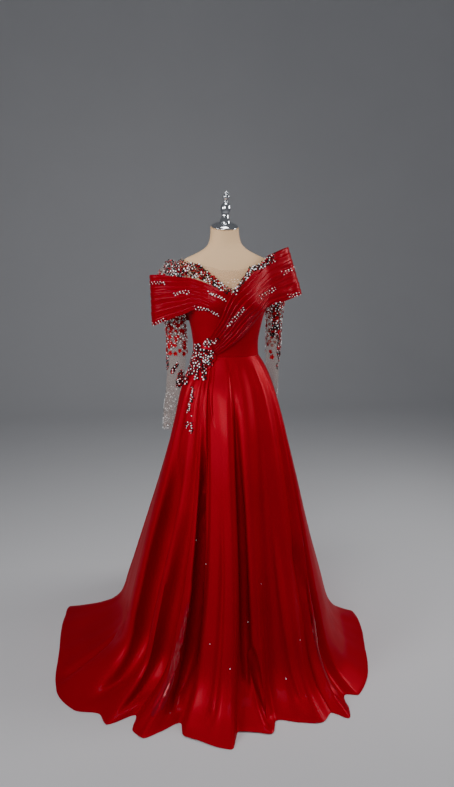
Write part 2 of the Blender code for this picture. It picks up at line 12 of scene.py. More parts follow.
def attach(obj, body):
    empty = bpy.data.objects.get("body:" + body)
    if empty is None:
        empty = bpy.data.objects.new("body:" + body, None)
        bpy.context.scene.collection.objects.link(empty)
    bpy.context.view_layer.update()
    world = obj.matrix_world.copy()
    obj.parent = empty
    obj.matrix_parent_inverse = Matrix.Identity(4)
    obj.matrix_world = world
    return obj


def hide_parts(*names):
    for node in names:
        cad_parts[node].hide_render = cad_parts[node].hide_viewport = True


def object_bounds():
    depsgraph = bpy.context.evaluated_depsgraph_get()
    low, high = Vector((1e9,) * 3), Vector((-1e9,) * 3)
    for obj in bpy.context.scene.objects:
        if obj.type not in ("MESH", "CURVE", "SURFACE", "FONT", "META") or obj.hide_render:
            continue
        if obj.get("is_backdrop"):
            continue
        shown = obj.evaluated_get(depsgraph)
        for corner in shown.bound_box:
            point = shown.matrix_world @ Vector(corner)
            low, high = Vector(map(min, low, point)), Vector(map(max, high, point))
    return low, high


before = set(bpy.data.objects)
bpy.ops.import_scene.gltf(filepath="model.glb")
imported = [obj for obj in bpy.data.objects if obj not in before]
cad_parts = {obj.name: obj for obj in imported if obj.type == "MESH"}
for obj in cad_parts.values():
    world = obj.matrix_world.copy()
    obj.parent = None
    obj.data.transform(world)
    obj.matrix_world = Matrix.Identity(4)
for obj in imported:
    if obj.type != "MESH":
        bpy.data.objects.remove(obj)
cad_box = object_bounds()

# Driving sizes
WAIST = 1.113  # height of the waist seam
BODICE_TOP = 1.315  # height of the top edge of the satin bodice, under the drapes
SEAM = 0.0004  # gap between pieces that are sewn to each other
SATIN = 0.0022  # wall of the satin pieces
NET = 0.0014  # wall of the net pieces
LINING = 0.0020  # from the form to the inside of the bodice
NET_LINING = 0.0031  # from the form to the inside of the yoke
NET_EASE = 0.0022  # more of the same on the shoulders
EASE_FROM, EASE_TO = 1.39, 1.425  # heights between which that ease sets in
NECK_LEAN = 0.34  # slope of the cut neck, lower at the front
NECK_START, NECK_RISE = 1.49, 0.05  # where the neck begins to slope, and over what height
CUT_BACK, CUT_HEIGHT = 0.0235, 1.5586  # the middle of the cut, behind the axis and above the floor
CAP_BACK, CAP_HEIGHT = 0.018, 1.5752  # where the finial stands on the cap
FINIAL_FOOT = 0.020  # height over which the finial's foot is cut to the slope
FINIAL_LEAN = 3.0  # degrees towards the wearer's left
FORM_BOTTOM, FORM_TOP = 0.90, 1.55
FORM_SQUARE = 2.25  # squareness of the form's rings, where 2 is an ellipse

# The form, a row per height: height, side, front, back, centre behind the axis
FORM = [
    (0.9, 0.15, 0.104, 0.112, 0),
    (0.95, 0.152, 0.104, 0.115, 0),
    (1, 0.143, 0.099, 0.108, 0),
    (1.06, 0.123, 0.09, 0.088, 0),
    (1.11, 0.1145, 0.086, 0.078, 0),
    (1.15, 0.1125, 0.0885, 0.076, 0),
    (1.2, 0.1185, 0.099, 0.079, 0),
    (1.25, 0.1305, 0.112, 0.086, 0),
    (1.29, 0.1425, 0.119, 0.093, 0),
    (1.33, 0.15, 0.116, 0.097, 0),
    (1.37, 0.156, 0.105, 0.097, 0),
    (1.405, 0.161, 0.092, 0.092, 0),
    (1.43, 0.16, 0.08, 0.084, 0.001),
    (1.45, 0.14, 0.069, 0.074, 0.003),
    (1.468, 0.102, 0.06, 0.062, 0.006),
    (1.485, 0.073, 0.054, 0.054, 0.01),
    (1.505, 0.056, 0.051, 0.051, 0.014),
    (1.535, 0.05, 0.049, 0.049, 0.02),
    (1.555, 0.049, 0.049, 0.049, 0.024),
]
BUST_HEIGHT, BUST_ANGLE, BUST_DEPTH = 1.285, 34.0, 0.011
BUST_TALL, BUST_WIDE = 0.045, 24.0  # how far up, and round in degrees, the bust falls off

# The skirt before its folds, a row per height:
# height, right, left, front, back, share of the fold depth, squareness
SKIRT = [
    (0, 0.655, 0.555, 0.565, 0.7, 1, 2),
    (0.01, 0.61, 0.53, 0.547, 0.688, 0.97, 2),
    (0.024, 0.562, 0.5, 0.527, 0.668, 0.92, 2),
    (0.045, 0.498, 0.465, 0.5, 0.64, 0.86, 2),
    (0.075, 0.438, 0.44, 0.471, 0.608, 0.8, 2),
    (0.12, 0.396, 0.415, 0.44, 0.566, 0.74, 2),
    (0.22, 0.365, 0.384, 0.397, 0.502, 0.66, 2),
    (0.33, 0.333, 0.352, 0.357, 0.44, 0.57, 2),
    (0.48, 0.29, 0.312, 0.308, 0.362, 0.47, 2),
    (0.64, 0.244, 0.273, 0.262, 0.29, 0.37, 2),
    (0.79, 0.206, 0.235, 0.222, 0.228, 0.26, 2),
    (0.9, 0.181, 0.206, 0.19, 0.182, 0.17, 2.05),
    (1, 0.16, 0.175, 0.15, 0.137, 0.09, 2.15),
    (1.06, 0.137, 0.151, 0.115, 0.105, 0.045, 2.2),
    (1.113, 0.119, 0.119, 0.0905, 0.0825, 0, 2.25),
]

# The folds of the skirt, a row per ridge or hollow:
# angle at the hem, radius at the hem, angle at knee height, angle at the waist
FOLDS = [
    (-192, 0.65, -192, -192),
    (-180, 0.7, -180, -180),
    (-168, 0.655, -167, -167),
    (-156, 0.69, -155, -154),
    (-145, 0.575, -145, -144),
    (-125, 0.462, -127, -129),
    (-118.6, 0.58, -121, -123),
    (-114.5, 0.704, -116, -118),
    (-108.4, 0.684, -112, -113),
    (-86.6, 0.643, -92, -96),
    (-70.3, 0.668, -82, -84),
    (-65.7, 0.675, -78, -80),
    (-56.9, 0.66, -68, -66),
    (-50, 0.61, -59, -55),
    (-45.3, 0.626, -46, -48),
    (-40.5, 0.542, -35, -43),
    (-37, 0.6, -31.5, -40.5),
    (-32.6, 0.611, -28, -38),
    (-28.8, 0.565, -24.5, -35),
    (-24.3, 0.512, -21.7, -33),
    (-21.4, 0.56, -18.5, -29.5),
    (-16.4, 0.571, -14, -25),
    (-9.6, 0.594, -8, -15),
    (-6, 0.601, -4, -9),
    (-3.8, 0.53, 0.5, -3),
    (2.4, 0.541, 6, 8),
    (6.9, 0.556, 11, 17),
    (10.7, 0.506, 20, 29),
    (17.8, 0.543, 27, 38),
    (24.7, 0.577, 35, 47),
    (29.7, 0.562, 44, 57),
    (32, 0.616, 48, 61),
    (40.4, 0.543, 54, 66),
    (43.5, 0.579, 58, 70),
    (51.8, 0.573, 64, 74),
    (60.5, 0.559, 69, 78),
    (72.8, 0.541, 77, 82),
    (99.1, 0.562, 98, 98),
    (101.4, 0.48, 101.5, 102),
    (115, 0.46, 115, 115),
    (134, 0.6, 134, 134),
    (145, 0.58, 145, 145),
    (158, 0.69, 158, 158),
    (168, 0.655, 168, 168),
    (180, 0.7, 180, 180),
    (192, 0.655, 192, 192),
]
KNEE = 0.48  # share of the way down from the waist at which the third column of the folds holds

# The deepest hollows between the folds, a row each:
# fold at its top, fold at its foot, top height, foot height, half width in degrees, depth
HOLLOWS = [
    (-48.5, -53.5, 0.8, 0.015, 3, 0.026),
    (-42.6, -43.6, 0.6, 0.02, 1.6, 0.014),
    (-30.4, -27, 0.85, 0.02, 2, 0.022),
    (-0.6, 0.4, 1.02, 0.09, 2.3, 0.02),
    (3, 7, 0.2, 0.01, 1.6, 0.012),
    (30, 34, 0.5, 0.04, 1.8, 0.012),
]

# Each drape, a row per section along it:
# top edge x, y, z, lower edge x, y, z, height over the form, depth of the pleats
DRAPE_RIGHT = [
    (0.03, -0.118, 1.318, 0.02, -0.112, 1.222, 0.0054, 0.0002),
    (0, -0.119, 1.332, -0.012, -0.111, 1.237, 0.0054, 0.0002),
    (-0.029, -0.115, 1.343, -0.036, -0.115, 1.25, 0.0054, 0.0005),
    (-0.061, -0.108, 1.358, -0.06, -0.119, 1.262, 0.005, 0.0018),
    (-0.1, -0.092, 1.374, -0.092, -0.113, 1.275, 0.005, 0.0028),
    (-0.131, -0.074, 1.383, -0.118, -0.095, 1.276, 0.0055, 0.0028),
    (-0.165, -0.062, 1.387, -0.15, -0.074, 1.262, 0.006, 0.0028),
    (-0.198, -0.047, 1.39, -0.185, -0.055, 1.249, 0.006, 0.0028),
    (-0.231, -0.025, 1.394, -0.22, -0.032, 1.233, 0.006, 0.0028),
    (-0.2575, -0.004, 1.394, -0.2525, -0.011, 1.219, 0.006, 0.002),
    (-0.263, 0.012, 1.393, -0.259, 0.008, 1.217, 0.006, 0.0014),
    (-0.256, 0.03, 1.391, -0.252, 0.027, 1.218, 0.006, 0.002),
    (-0.225, 0.085, 1.386, -0.222, 0.088, 1.225, 0.006, 0.0026),
    (-0.175, 0.128, 1.38, -0.172, 0.133, 1.228, 0.006, 0.0026),
    (-0.115, 0.128, 1.372, -0.112, 0.13, 1.226, 0.006, 0.0026),
    (-0.06, 0.1, 1.366, -0.058, 0.094, 1.222, 0.0055, 0.0024),
    (0, 0.094, 1.362, 0, 0.08, 1.218, 0.0055, 0.0018),
]
DRAPE_LEFT = [
    (-0.096, -0.054, 1.132, -0.053, -0.081, 1.1165, 0.0054, 0.0008),
    (-0.072, -0.076, 1.162, -0.026, -0.09, 1.13, 0.0055, 0.0014),
    (-0.054, -0.101, 1.205, 0.004, -0.097, 1.151, 0.0085, 0.0026),
    (-0.032, -0.121, 1.25, 0.038, -0.1, 1.181, 0.0112, 0.0028),
    (-0.015, -0.13, 1.298, 0.066, -0.1, 1.211, 0.0112, 0.0028),
    (0.004, -0.125, 1.331, 0.088, -0.099, 1.24, 0.0112, 0.0028),
    (0.044, -0.111, 1.366, 0.11, -0.093, 1.263, 0.0085, 0.0028),
    (0.083, -0.09, 1.404, 0.132, -0.076, 1.281, 0.0065, 0.0028),
    (0.118, -0.068, 1.437, 0.16, -0.06, 1.292, 0.006, 0.0028),
    (0.155, -0.049, 1.461, 0.2, -0.042, 1.301, 0.006, 0.0028),
    (0.191, -0.029, 1.478, 0.24, -0.022, 1.313, 0.006, 0.0026),
    (0.218, -0.008, 1.489, 0.271, -0.006, 1.3235, 0.006, 0.002),
    (0.224, 0.006, 1.491, 0.279, 0.01, 1.326, 0.006, 0.0014),
    (0.219, 0.024, 1.489, 0.273, 0.03, 1.323, 0.006, 0.002),
    (0.192, 0.078, 1.475, 0.237, 0.09, 1.305, 0.006, 0.0026),
    (0.152, 0.118, 1.452, 0.178, 0.134, 1.28, 0.006, 0.0026),
    (0.105, 0.122, 1.422, 0.115, 0.13, 1.25, 0.006, 0.0026),
    (0.055, 0.1, 1.388, 0.058, 0.094, 1.228, 0.0055, 0.0024),
    (0, 0.094, 1.362, 0, 0.08, 1.218, 0.0055, 0.0018),
]

# The armhole in the net yoke: height, angle from the centre line to its edge
ARMHOLE = [
    (1.315, 90), (1.326, 83), (1.345, 70), (1.375, 63), (1.4, 63), (1.415, 67), (1.428, 76), (1.438, 88),
    (1.442, 90), (1.46, 90),
]
ARMHOLE_MIDDLE, ARMHOLE_HALF = 1.3764, 0.0574  # height of its middle and half its height
ARMHOLE_INSET = 1.74  # degrees from its edge to the sleeve
ARMHOLE_BLUNT = 2.1  # how blunt the sleeve's edge is at its top and its foot
NECKLINE_FRONT, NECKLINE_BACK, NECKLINE_SIDE = 1.409, 1.430, 1.455
NECKLINE_POWER = 2.5  # how late it rises on the way from the middle to the side

HEAD_POWER = 1.5  # how soon the head of a sleeve leaves the armhole for the tube
# Each sleeve, a row per section from the armhole down:
# centre x, y, z, half width outwards, half depth, lean of the section
SLEEVE_RIGHT = [
    (-0.183, 0.018, 1.39, 0.057, 0.05, 74),
    (-0.195, 0.034, 1.366, 0.048, 0.05, 42),
    (-0.192, 0.05, 1.328, 0.042, 0.046, 18),
    (-0.183, 0.066, 1.28, 0.0375, 0.042, 7),
    (-0.175, 0.086, 1.22, 0.035, 0.035, 2),
    (-0.169, 0.098, 1.15, 0.034, 0.031, 0),
    (-0.1725, 0.106, 1.05, 0.0335, 0.028, 0),
    (-0.178, 0.124, 0.96, 0.0325, 0.026, 0),
    (-0.19, 0.152, 0.88, 0.03, 0.024, 0),
    (-0.195, 0.184, 0.8, 0.028, 0.022, 0),
]
SLEEVE_LEFT = [
    (0.181, 0.022, 1.39, 0.056, 0.046, 74),
    (0.195, 0.04, 1.366, 0.048, 0.046, 42),
    (0.196, 0.056, 1.328, 0.039, 0.044, 18),
    (0.194, 0.07, 1.28, 0.03, 0.042, 7),
    (0.195, 0.082, 1.22, 0.0255, 0.04, 2),
    (0.196, 0.092, 1.15, 0.024, 0.038, 0),
    (0.197, 0.108, 1.05, 0.0235, 0.035, 0),
    (0.1985, 0.13, 0.96, 0.023, 0.032, 0),
    (0.202, 0.164, 0.88, 0.022, 0.028, 0),
    (0.204, 0.2, 0.8, 0.0215, 0.025, 0),
]

# The hip ornament
ORNAMENT_ANGLE, ORNAMENT_HEIGHT = -46.0, 1.113
ORNAMENT_WIDE, ORNAMENT_TALL = 19.0, 0.041  # half width in degrees, half height
ORNAMENT_PETALS, ORNAMENT_DOME, ORNAMENT_WALL = 6, 0.006, 0.003
ORNAMENT_LOBE = 0.10  # how far its petals reach out, as a share of its size
ORNAMENT_OVER_DRAPE, ORNAMENT_OVER_SKIRT = 0.0128, 0.0040  # from the form and from the skirt to its back

# The neck cap and its finial, a row per turning: radius, height over the cut neck
NECK_CAP = [
    (0.0465, 0), (0.048, 0.003), (0.043, 0.008), (0.032, 0.013), (0.0215, 0.0165), (0.0205, 0.017),
]
FINIAL = [
    (0.019, 0), (0.018, 0.005), (0.014, 0.014), (0.0125, 0.022), (0.0135, 0.028), (0.0165, 0.036),
    (0.0185, 0.046), (0.017, 0.056), (0.011, 0.064), (0.0065, 0.069), (0.0075, 0.074), (0.0115, 0.08),
    (0.0128, 0.085), (0.011, 0.09), (0.0065, 0.094), (0.0075, 0.099), (0.0055, 0.103),
]


def unit(vectors):
    return vectors / np.linalg.norm(vectors, axis=-1, keepdims=True)


def smooth(low, high, value):
    """0 before the first value and 1 beyond the second, with an even rise between."""
    t = np.clip((np.asarray(value, float) - low) / (high - low), 0, 1)
    return t * t * (3 - 2 * t)


def hump(value, middle, wide):
    """1 at the middle, falling off evenly to either side."""
    return np.exp(-(((value - middle) / wide) ** 2))


def larger(a, b, blend):
    """The larger of two sizes, rounded off where they meet."""
    return 0.5 * (a + b + np.sqrt((a - b) ** 2 + blend**2))


def lengths(line):
    """How far along a broken line each of its points lies."""
    return np.concatenate([[0], np.cumsum(np.linalg.norm(np.diff(line, axis=0), axis=1))])


def curve(rows, at):
    """The columns of a table at the given places of its first column, with no overshoot."""
    rows = np.asarray(rows, float)
    where, cols = rows[:, 0], rows[:, 1:]
    step = np.diff(where)[:, None]
    rise = np.diff(cols, axis=0) / step
    before, after = rise[:-1], rise[1:]
    steady = before * after > 0
    near, far = 2 * step[1:] + step[:-1], step[1:] + 2 * step[:-1]
    shared = near / np.where(steady, before, 1) + far / np.where(steady, after, 1)
    slope = np.vstack([rise[:1], np.where(steady, (near + far) / shared, 0), rise[-1:]])
    at = np.clip(np.asarray(at, float), where[0], where[-1])
    i = np.clip(np.searchsorted(where, at) - 1, 0, len(where) - 2)
    width = (where[i + 1] - where[i])[..., None]
    t = (at - where[i])[..., None] / width
    low = cols[i] * (1 + 2 * t) + width * slope[i] * t
    high = cols[i + 1] * (3 - 2 * t) + width * slope[i + 1] * (t - 1)
    return np.moveaxis(low * (1 - t) ** 2 + high * t**2, -1, 0)


def ring(angle, right, left, front, back, power):
    """Radius of a rounded outline with a different reach to each side."""
    across, ahead = np.sin(np.radians(angle)), np.cos(np.radians(angle))
    side = np.where(across > 0, left, right)
    fore = np.where(ahead > 0, front, back)
    return (np.abs(across / side) ** power + np.abs(ahead / fore) ** power) ** (-1 / power)


def around(angle, radius, height, centre=0.0):
    """Points at these angles and radii about the upright axis."""
    turn = np.radians(angle)
    return np.stack([radius * np.sin(turn), centre - radius * np.cos(turn), height + 0 * radius], axis=-1)


def form_ring(angle, height):
    """Radius of the form and how far its ring's centre lies behind the axis."""
    side, front, back, centre = curve(FORM, height)
    radius = ring(angle, side, side, front, back, FORM_SQUARE)
    rise = BUST_DEPTH * hump(height, BUST_HEIGHT, BUST_TALL)
    for middle in (-BUST_ANGLE, BUST_ANGLE):
        radius = radius + rise * hump(angle, middle, BUST_WIDE)
    return radius, centre


def on_form(angle, height, over):
    """Points this far off the form, measured square to it."""
    radius, centre = form_ring(angle, height)
    step = 0.003
    slope = (form_ring(angle, height + step)[0] - form_ring(angle, height - step)[0]) / (2 * step)
    return around(angle, radius + over * np.sqrt(1 + slope**2), height, centre)


def clear_of_form(points, over):
    """The points, with those nearer to the form than this moved straight out."""
    x, y, z = np.moveaxis(points, -1, 0)
    centre = curve(FORM, z)[3]
    angle = np.degrees(np.arctan2(x, centre - y))
    least = form_ring(angle, z)[0] + over
    radius = np.hypot(x, y - centre)
    out = np.maximum(larger(radius, least, blend=0.004), least)
    return around(angle, np.where(z > FORM[-1][0], radius, out), z, centre)


def along_folds(rows, fold, height, full, fading):
    """What each row of a table of folds adds at a place, at its most between these shares of its way down."""
    for top_fold, foot_fold, top, foot, wide, value in rows:
        down = (top - height) / (top - foot)
        place = top_fold + (foot_fold - top_fold) * np.clip(down, 0, 1)
        yield value * smooth(0, full, down) * (1 - smooth(fading, 1, down)) * hump(fold, place, wide)


def skirt_outside(fold, height):
    """The outer face of the skirt. A fold is named by its angle at the hem."""
    reach, knee, waist = curve(FOLDS, fold)
    down = 1 - height / WAIST
    angle = waist * (down - KNEE) * (down - 1) / KNEE
    angle = angle + knee * down * (down - 1) / (KNEE * (KNEE - 1))
    angle = angle + fold * down * (down - KNEE) / (1 - KNEE)
    depth = reach - ring(fold, *SKIRT[0][1:5], power=2.0)
    *sides, share, power = curve(SKIRT, height)
    radius = ring(angle, *sides, power) + depth * share
    return around(angle, radius - sum(along_folds(HOLLOWS, fold, height, 0.2, 0.8)), height)


def drape_surface(rows):
    """The inner face of a drape before pleating, and the depth of its pleats along it."""
    rows = np.asarray(rows, float)
    along = lengths((rows[:, 0:3] + rows[:, 3:6]) / 2)
    table = np.column_stack([along / along[-1], rows])

    def shape(u, v):
        cols = curve(table, u)
        points = np.moveaxis(cols[0:3] * (1 - v) + cols[3:6] * v, 0, -1)
        return clear_of_form(points, cols[6])

    def depth(u):
        return curve(table, u)[7]

    return shape, depth


def net_over(height):
    """How far the inside of the net lies off the form."""
    return NET_LINING + NET_EASE * np.interp(height, [EASE_FROM, EASE_TO], [0, 1])


def armhole(turn, side):
    """Points round the armhole, just inside its edge: above at 0 degrees, behind at 90."""
    turn = np.radians(turn)
    height = ARMHOLE_MIDDLE + ARMHOLE_HALF * np.cos(turn)
    open_by = np.maximum(90 - curve(ARMHOLE, height)[0] - ARMHOLE_INSET, 0)
    open_by = open_by * np.clip(ARMHOLE_BLUNT * np.sin(turn), -1, 1)
    return on_form(side * (90 + open_by), height, net_over(height))


def sleeve_surface(rows, side):
    """The inner face of a sleeve, at an angle round it and a section along it. Section 0 is the armhole."""
    table = [(section + 1, *row) for section, row in enumerate(rows)]

    def shape(turn, section):
        x, y, z, wide, deep, lean = curve(table, section)
        head = np.clip(1 - section, 0, 1)[..., None] ** HEAD_POWER
        lean = np.radians(lean)
        away, back = wide * np.cos(np.radians(turn)), deep * np.sin(np.radians(turn))
        tube = np.stack([x + side * away * np.cos(lean), y + back, z + away * np.sin(lean)], axis=-1)
        return armhole(turn, side) * head + tube * (1 - head)

    return shape


def yoke_outside(middle, neckline):
    """The outer face of the net yoke, front or back of the armholes."""

    def shape(u, v):
        foot = BODICE_TOP + SEAM
        top = neckline + (NECKLINE_SIDE - neckline) * np.abs(u) ** NECKLINE_POWER
        height = foot + (top - foot) * v
        return on_form(middle + u * curve(ARMHOLE, height)[0], height, net_over(height) + NET)

    return shape


def leaning(points):
    """The points with the neck's slope, nothing below the shoulders and all of it at the cut."""
    share = np.clip((points[:, 2] - NECK_START) / NECK_RISE, 0, 1)
    points[:, 2] += NECK_LEAN * share * points[:, 1]
    return points


def on_neck(points):
    """Points of a turned piece set on the sloping cut of the neck."""
    x, y, z = points.T
    lean = math.atan(NECK_LEAN)
    back, up = y * math.cos(lean) - z * math.sin(lean), y * math.sin(lean) + z * math.cos(lean)
    return np.stack([x, CUT_BACK + back, CUT_HEIGHT + up], -1)


def on_cap(points):
    """Points of the finial, its foot cut to the slope of the cap, with its own lean."""
    x, y, z = points.T
    up = z + NECK_LEAN * y * np.clip(1 - z / FINIAL_FOOT, 0, 1)
    return np.stack([x + z * math.sin(math.radians(FINIAL_LEAN)), y + CAP_BACK, CAP_HEIGHT + up], -1)


def ornament_inside(u, v):
    """The back of a rounded patch with petals, over the end of the left drape and the top of the skirt."""
    across, up = u * np.sqrt(1 - v**2 / 2), v * np.sqrt(1 - u**2 / 2)
    petal = 1 + ORNAMENT_LOBE * np.cos(ORNAMENT_PETALS * np.arctan2(up, across)) * np.hypot(across, up)
    angle = ORNAMENT_ANGLE + ORNAMENT_WIDE * across * petal
    height = ORNAMENT_HEIGHT + ORNAMENT_TALL * up * petal
    over_drape = form_ring(angle, height)[0] + ORNAMENT_OVER_DRAPE
    over_skirt = ring(angle, *curve(SKIRT, height)[:4], power=2.2) + ORNAMENT_OVER_SKIRT
    return around(angle, larger(over_drape, over_skirt, blend=0.003), height)


def facing(shape, u, v, step):
    """Unit normals of a surface, by differences over these steps."""
    along = shape(u + step[0], v) - shape(u - step[0], v)
    down = shape(u, v + step[1]) - shape(u, v - step[1])
    return unit(np.cross(along, down))


# Meshes

CLOTH, NET_CLOTH = 0.0007, 0.0004  # thickness of the shown satin and net
INSET, SKIRT_INSET = 0.0003, 0.0002  # how far the shown faces lie inside those of the solids
HEM_OUTSIDE, HEM_INSIDE = 0.0010, 0.0002  # the lowest that either face of the cloth lies over the floor


def numbered(rows, cols, closed):
    """A grid of point numbers, its first column repeated at the end where it closes."""
    grid = np.arange(rows * cols).reshape(rows, cols)
    return np.hstack([grid, grid[:, :1]]) if closed else grid


def quads(grid):
    corners = grid[:-1, :-1], grid[:-1, 1:], grid[1:, 1:], grid[1:, :-1]
    return np.stack(corners, -1).reshape(-1, 4)


def linked(name, data):
    """An object with this data, in the scene."""
    made = bpy.data.objects.new(name, data)
    bpy.context.scene.collection.objects.link(made)
    return made


def mesh_object(name, points, faces, look_of, flat=False):
    """A piece with one look, riding on the part's only body."""
    mesh = bpy.data.meshes.new(name)
    mesh.from_pydata(points, [], faces)
    mesh.validate()
    if not flat:
        mesh.shade_smooth()
        mesh.set_sharp_from_angle(angle=math.radians(60))
    mesh.materials.append(look_of)
    made = linked(name, mesh)
    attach(made, "root")
    return made


def shell(name, points, normals, thickness, look_of, closed=False):
    """A thin two-faced sheet from a grid of outer points, laid inwards by its thickness."""
    inner = points - normals * thickness
    inner[..., 2] = np.maximum(inner[..., 2], HEM_INSIDE)
    rows, cols = points.shape[:2]
    grid, count = numbered(rows, cols, closed), rows * cols
    edges = [grid[0], grid[-1, ::-1]]
    if not closed:
        edges += [grid[::-1, 0], grid[:, -1]]
    faces = [quads(grid), quads(grid)[:, ::-1] + count]
    for edge in edges:
        p, q = edge[:-1], edge[1:]
        faces.append(np.stack([q, p, p + count, q + count], -1))
    faces = np.concatenate(faces)
    middle = rows // 2
    start = points[middle, 0]
    outwards = np.cross(points[middle, 1] - start, points[middle + 1, 0] - start)
    if np.dot(outwards, normals[middle, 0]) < 0:
        faces = faces[:, ::-1]
    points = np.concatenate([points.reshape(-1, 3), inner.reshape(-1, 3)])
    return mesh_object(name, points, faces, look_of)


def turned_body(name, rings, look_of):
    """A closed body from rings of points, capped at both ends."""
    rows, cols = len(rings), len(rings[0])
    grid = numbered(rows, cols, True)
    sides = quads(grid)
    faces = [sides[:, [0, 1, 2]], sides[:, [0, 2, 3]]]
    for edge, hub in ((grid[0, ::-1], rows * cols), (grid[-1], rows * cols + 1)):
        faces.append(np.stack([edge[:-1], edge[1:], np.full(cols, hub)], -1))
    points = np.concatenate([*rings, [rings[0].mean(axis=0), rings[-1].mean(axis=0)]])
    return mesh_object(name, points, np.concatenate(faces), look_of)


def finished(piece, slot, *nodes):
    """The piece, with the nodes that it stands for hidden. Its slot is not used."""
    if nodes:
        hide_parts(*nodes)
    return piece


# Materials


def fed(made, **values):
    """A shader node with these inputs and settings. Another node's output is led to the input."""
    for name, value in values.items():
        socket = made.inputs.get(name.replace("_", " "))
        if isinstance(value, bpy.types.NodeSocket):
            made.id_data.links.new(value, socket)
        elif socket:
            socket.default_value = value
        else:
            setattr(made, name, value)
    return made


def node(tree, kind, **values):
    return fed(tree.nodes.new("ShaderNode" + kind), **values)


GRAIN_RISE = 0.0002  # how high the grain of a look stands


def shader_of(made):
    return made.node_tree.nodes["Principled BSDF"]


def look(name, colour, second, clouds, roughness, metallic, grain, grain_scale):
    """A Principled material with uneven colour, uneven roughness and a fine raised grain."""
    made = bpy.data.materials.new(name)
    made.use_nodes = True
    tree = made.node_tree
    place = node(tree, "TexCoord").outputs["Object"]
    cloud = node(tree, "TexNoise", Vector=place, Scale=clouds, Detail=4.0).outputs["Fac"]
    mix = node(tree, "Mix", data_type="RGBA", A=(*colour, 1), B=(*second, 1), Factor=cloud)
    rough = node(tree, "MapRange", Value=cloud, To_Min=roughness[0], To_Max=roughness[1])
    fine = node(tree, "TexNoise", Vector=place, Scale=grain_scale, Detail=2.0).outputs["Fac"]
    raised = node(tree, "Bump", Height=fine, Strength=grain, Distance=GRAIN_RISE)
    shader = fed(shader_of(made), Metallic=metallic, Normal=raised.outputs["Normal"])
    fed(shader, Base_Color=mix.outputs["Result"], Roughness=rough.outputs["Result"])
    return made


def satin_look(name, depth, gloss, roughness, metallic):
    """Red satin with a thin clear gloss over it. Depth darkens both of its reds, and below 1 that darkening
    is painted shade.
    """
    light, dark = (0.46 * depth, 0.0, 0.016 * depth), (0.31 * depth, 0.0, 0.010 * depth)
    made = look(name, light, dark, 5.0, roughness, metallic, 0.12, 1400.0)
    shader = fed(shader_of(made), Specular_IOR_Level=0.1, Specular_Tint=(1.0, 0.12, 0.14, 1.0))
    fed(shader, Coat_Weight=gloss, Coat_Roughness=0.12)
    return made


def net_look(name, colour, least, most):
    """Sheer net: threads round open cells, drawn by how solid the surface is."""
    made = look(name, colour, tuple(0.85 * c for c in colour), 30.0, (0.6, 0.8), 0.0, 0.1, 900.0)
    tree = made.node_tree
    place = tree.nodes["Texture Coordinate"].outputs["Object"]
    cells = node(tree, "TexVoronoi", feature="DISTANCE_TO_EDGE", Vector=place, Scale=NET_CELLS)
    edge = cells.outputs["Distance"]
    cover = node(tree, "MapRange", Value=edge, From_Min=0.02, From_Max=0.30, To_Min=most, To_Max=least)
    fed(shader_of(made), Alpha=cover.outputs["Result"])
    return made


NET_CELLS = 900.0  # net cells to a metre
SATIN_RED = satin_look("satin_red", 1.0, 0.035, (0.44, 0.52), 0.33)
# The drapes take the skirt's red satin darkened to 0.76: painted shade
PLEAT_RED_SHADED = satin_look("satin_pleated_painted_shade", 0.76, 0.11, (0.44, 0.52), 0.25)
CRUSHED_RED = satin_look("satin_crushed", 1.0, 0.8, (0.34, 0.44), 0.5)
NET_FORM = net_look("net_on_form", (0.80, 0.56, 0.35), 0.05, 0.22)
NET_SLEEVE = net_look("net_sleeve", (0.70, 0.54, 0.44), 0.02, 0.16)

# Looks: two colours, scale of their clouds, span of roughness, metal, strength of the grain and its scale
COVER = look("form_cover", (0.86, 0.58, 0.34), (0.80, 0.52, 0.29), 9.0, (0.6, 0.75), 0.0, 0.25, 1100.0)
CHROME = look("chrome", (0.82, 0.84, 0.88), (0.74, 0.76, 0.80), 25.0, (0.05, 0.12), 1.0, 0.02, 60.0)
STEEL = look("brushed_stand", (0.62, 0.62, 0.63), (0.50, 0.50, 0.51), 40.0, (0.22, 0.38), 1.0, 0.12, 300.0)
CRYSTAL_GLOWING = look("crystal_silver_painted_glow", (1.0, 1.0, 1.0), (0.92, 0.94, 0.98), 500.0, (0.08, 0.20), 0.15, 0.02, 400.0)
RUBY = look("crystal_red", (0.58, 0.003, 0.02), (0.36, 0.002, 0.012), 500.0, (0.15, 0.3), 0.2, 0.02, 400.0)
PETAL = look("petal_red", (0.58, 0.002, 0.015), (0.34, 0.001, 0.010), 60.0, (0.35, 0.5), 0.2, 0.3, 900.0)
DARK, DARKER = (0.012, 0.008, 0.009), (0.006, 0.004, 0.005)
BLACK = look("crystal_dark", DARK, DARKER, 500.0, (0.35, 0.5), 0.0, 0.02, 400.0)
# The silver stones glow white: a painted glow that stands in for the lamps glinting in them
fed(shader_of(CRYSTAL_GLOWING), Emission_Color=(1, 1, 1, 1), Emission_Strength=0.30)
for dull, shine in ((COVER, 0.1), (RUBY, 0.12), (PETAL, 0.12), (BLACK, 0.12)):
    fed(shader_of(dull), Specular_IOR_Level=shine)
STONES = {"silver": CRYSTAL_GLOWING, "red": RUBY, "dark": BLACK}
# Under the silver stones, the dark beads of a bed are partly painted shade, standing in for the shadow round
# the stones
SILVER_ONLY, BED_AND_SHADE = {"silver": 1.0}, {"red": 0.25, "dark": 0.75}  # shares of the stones


# Cloth

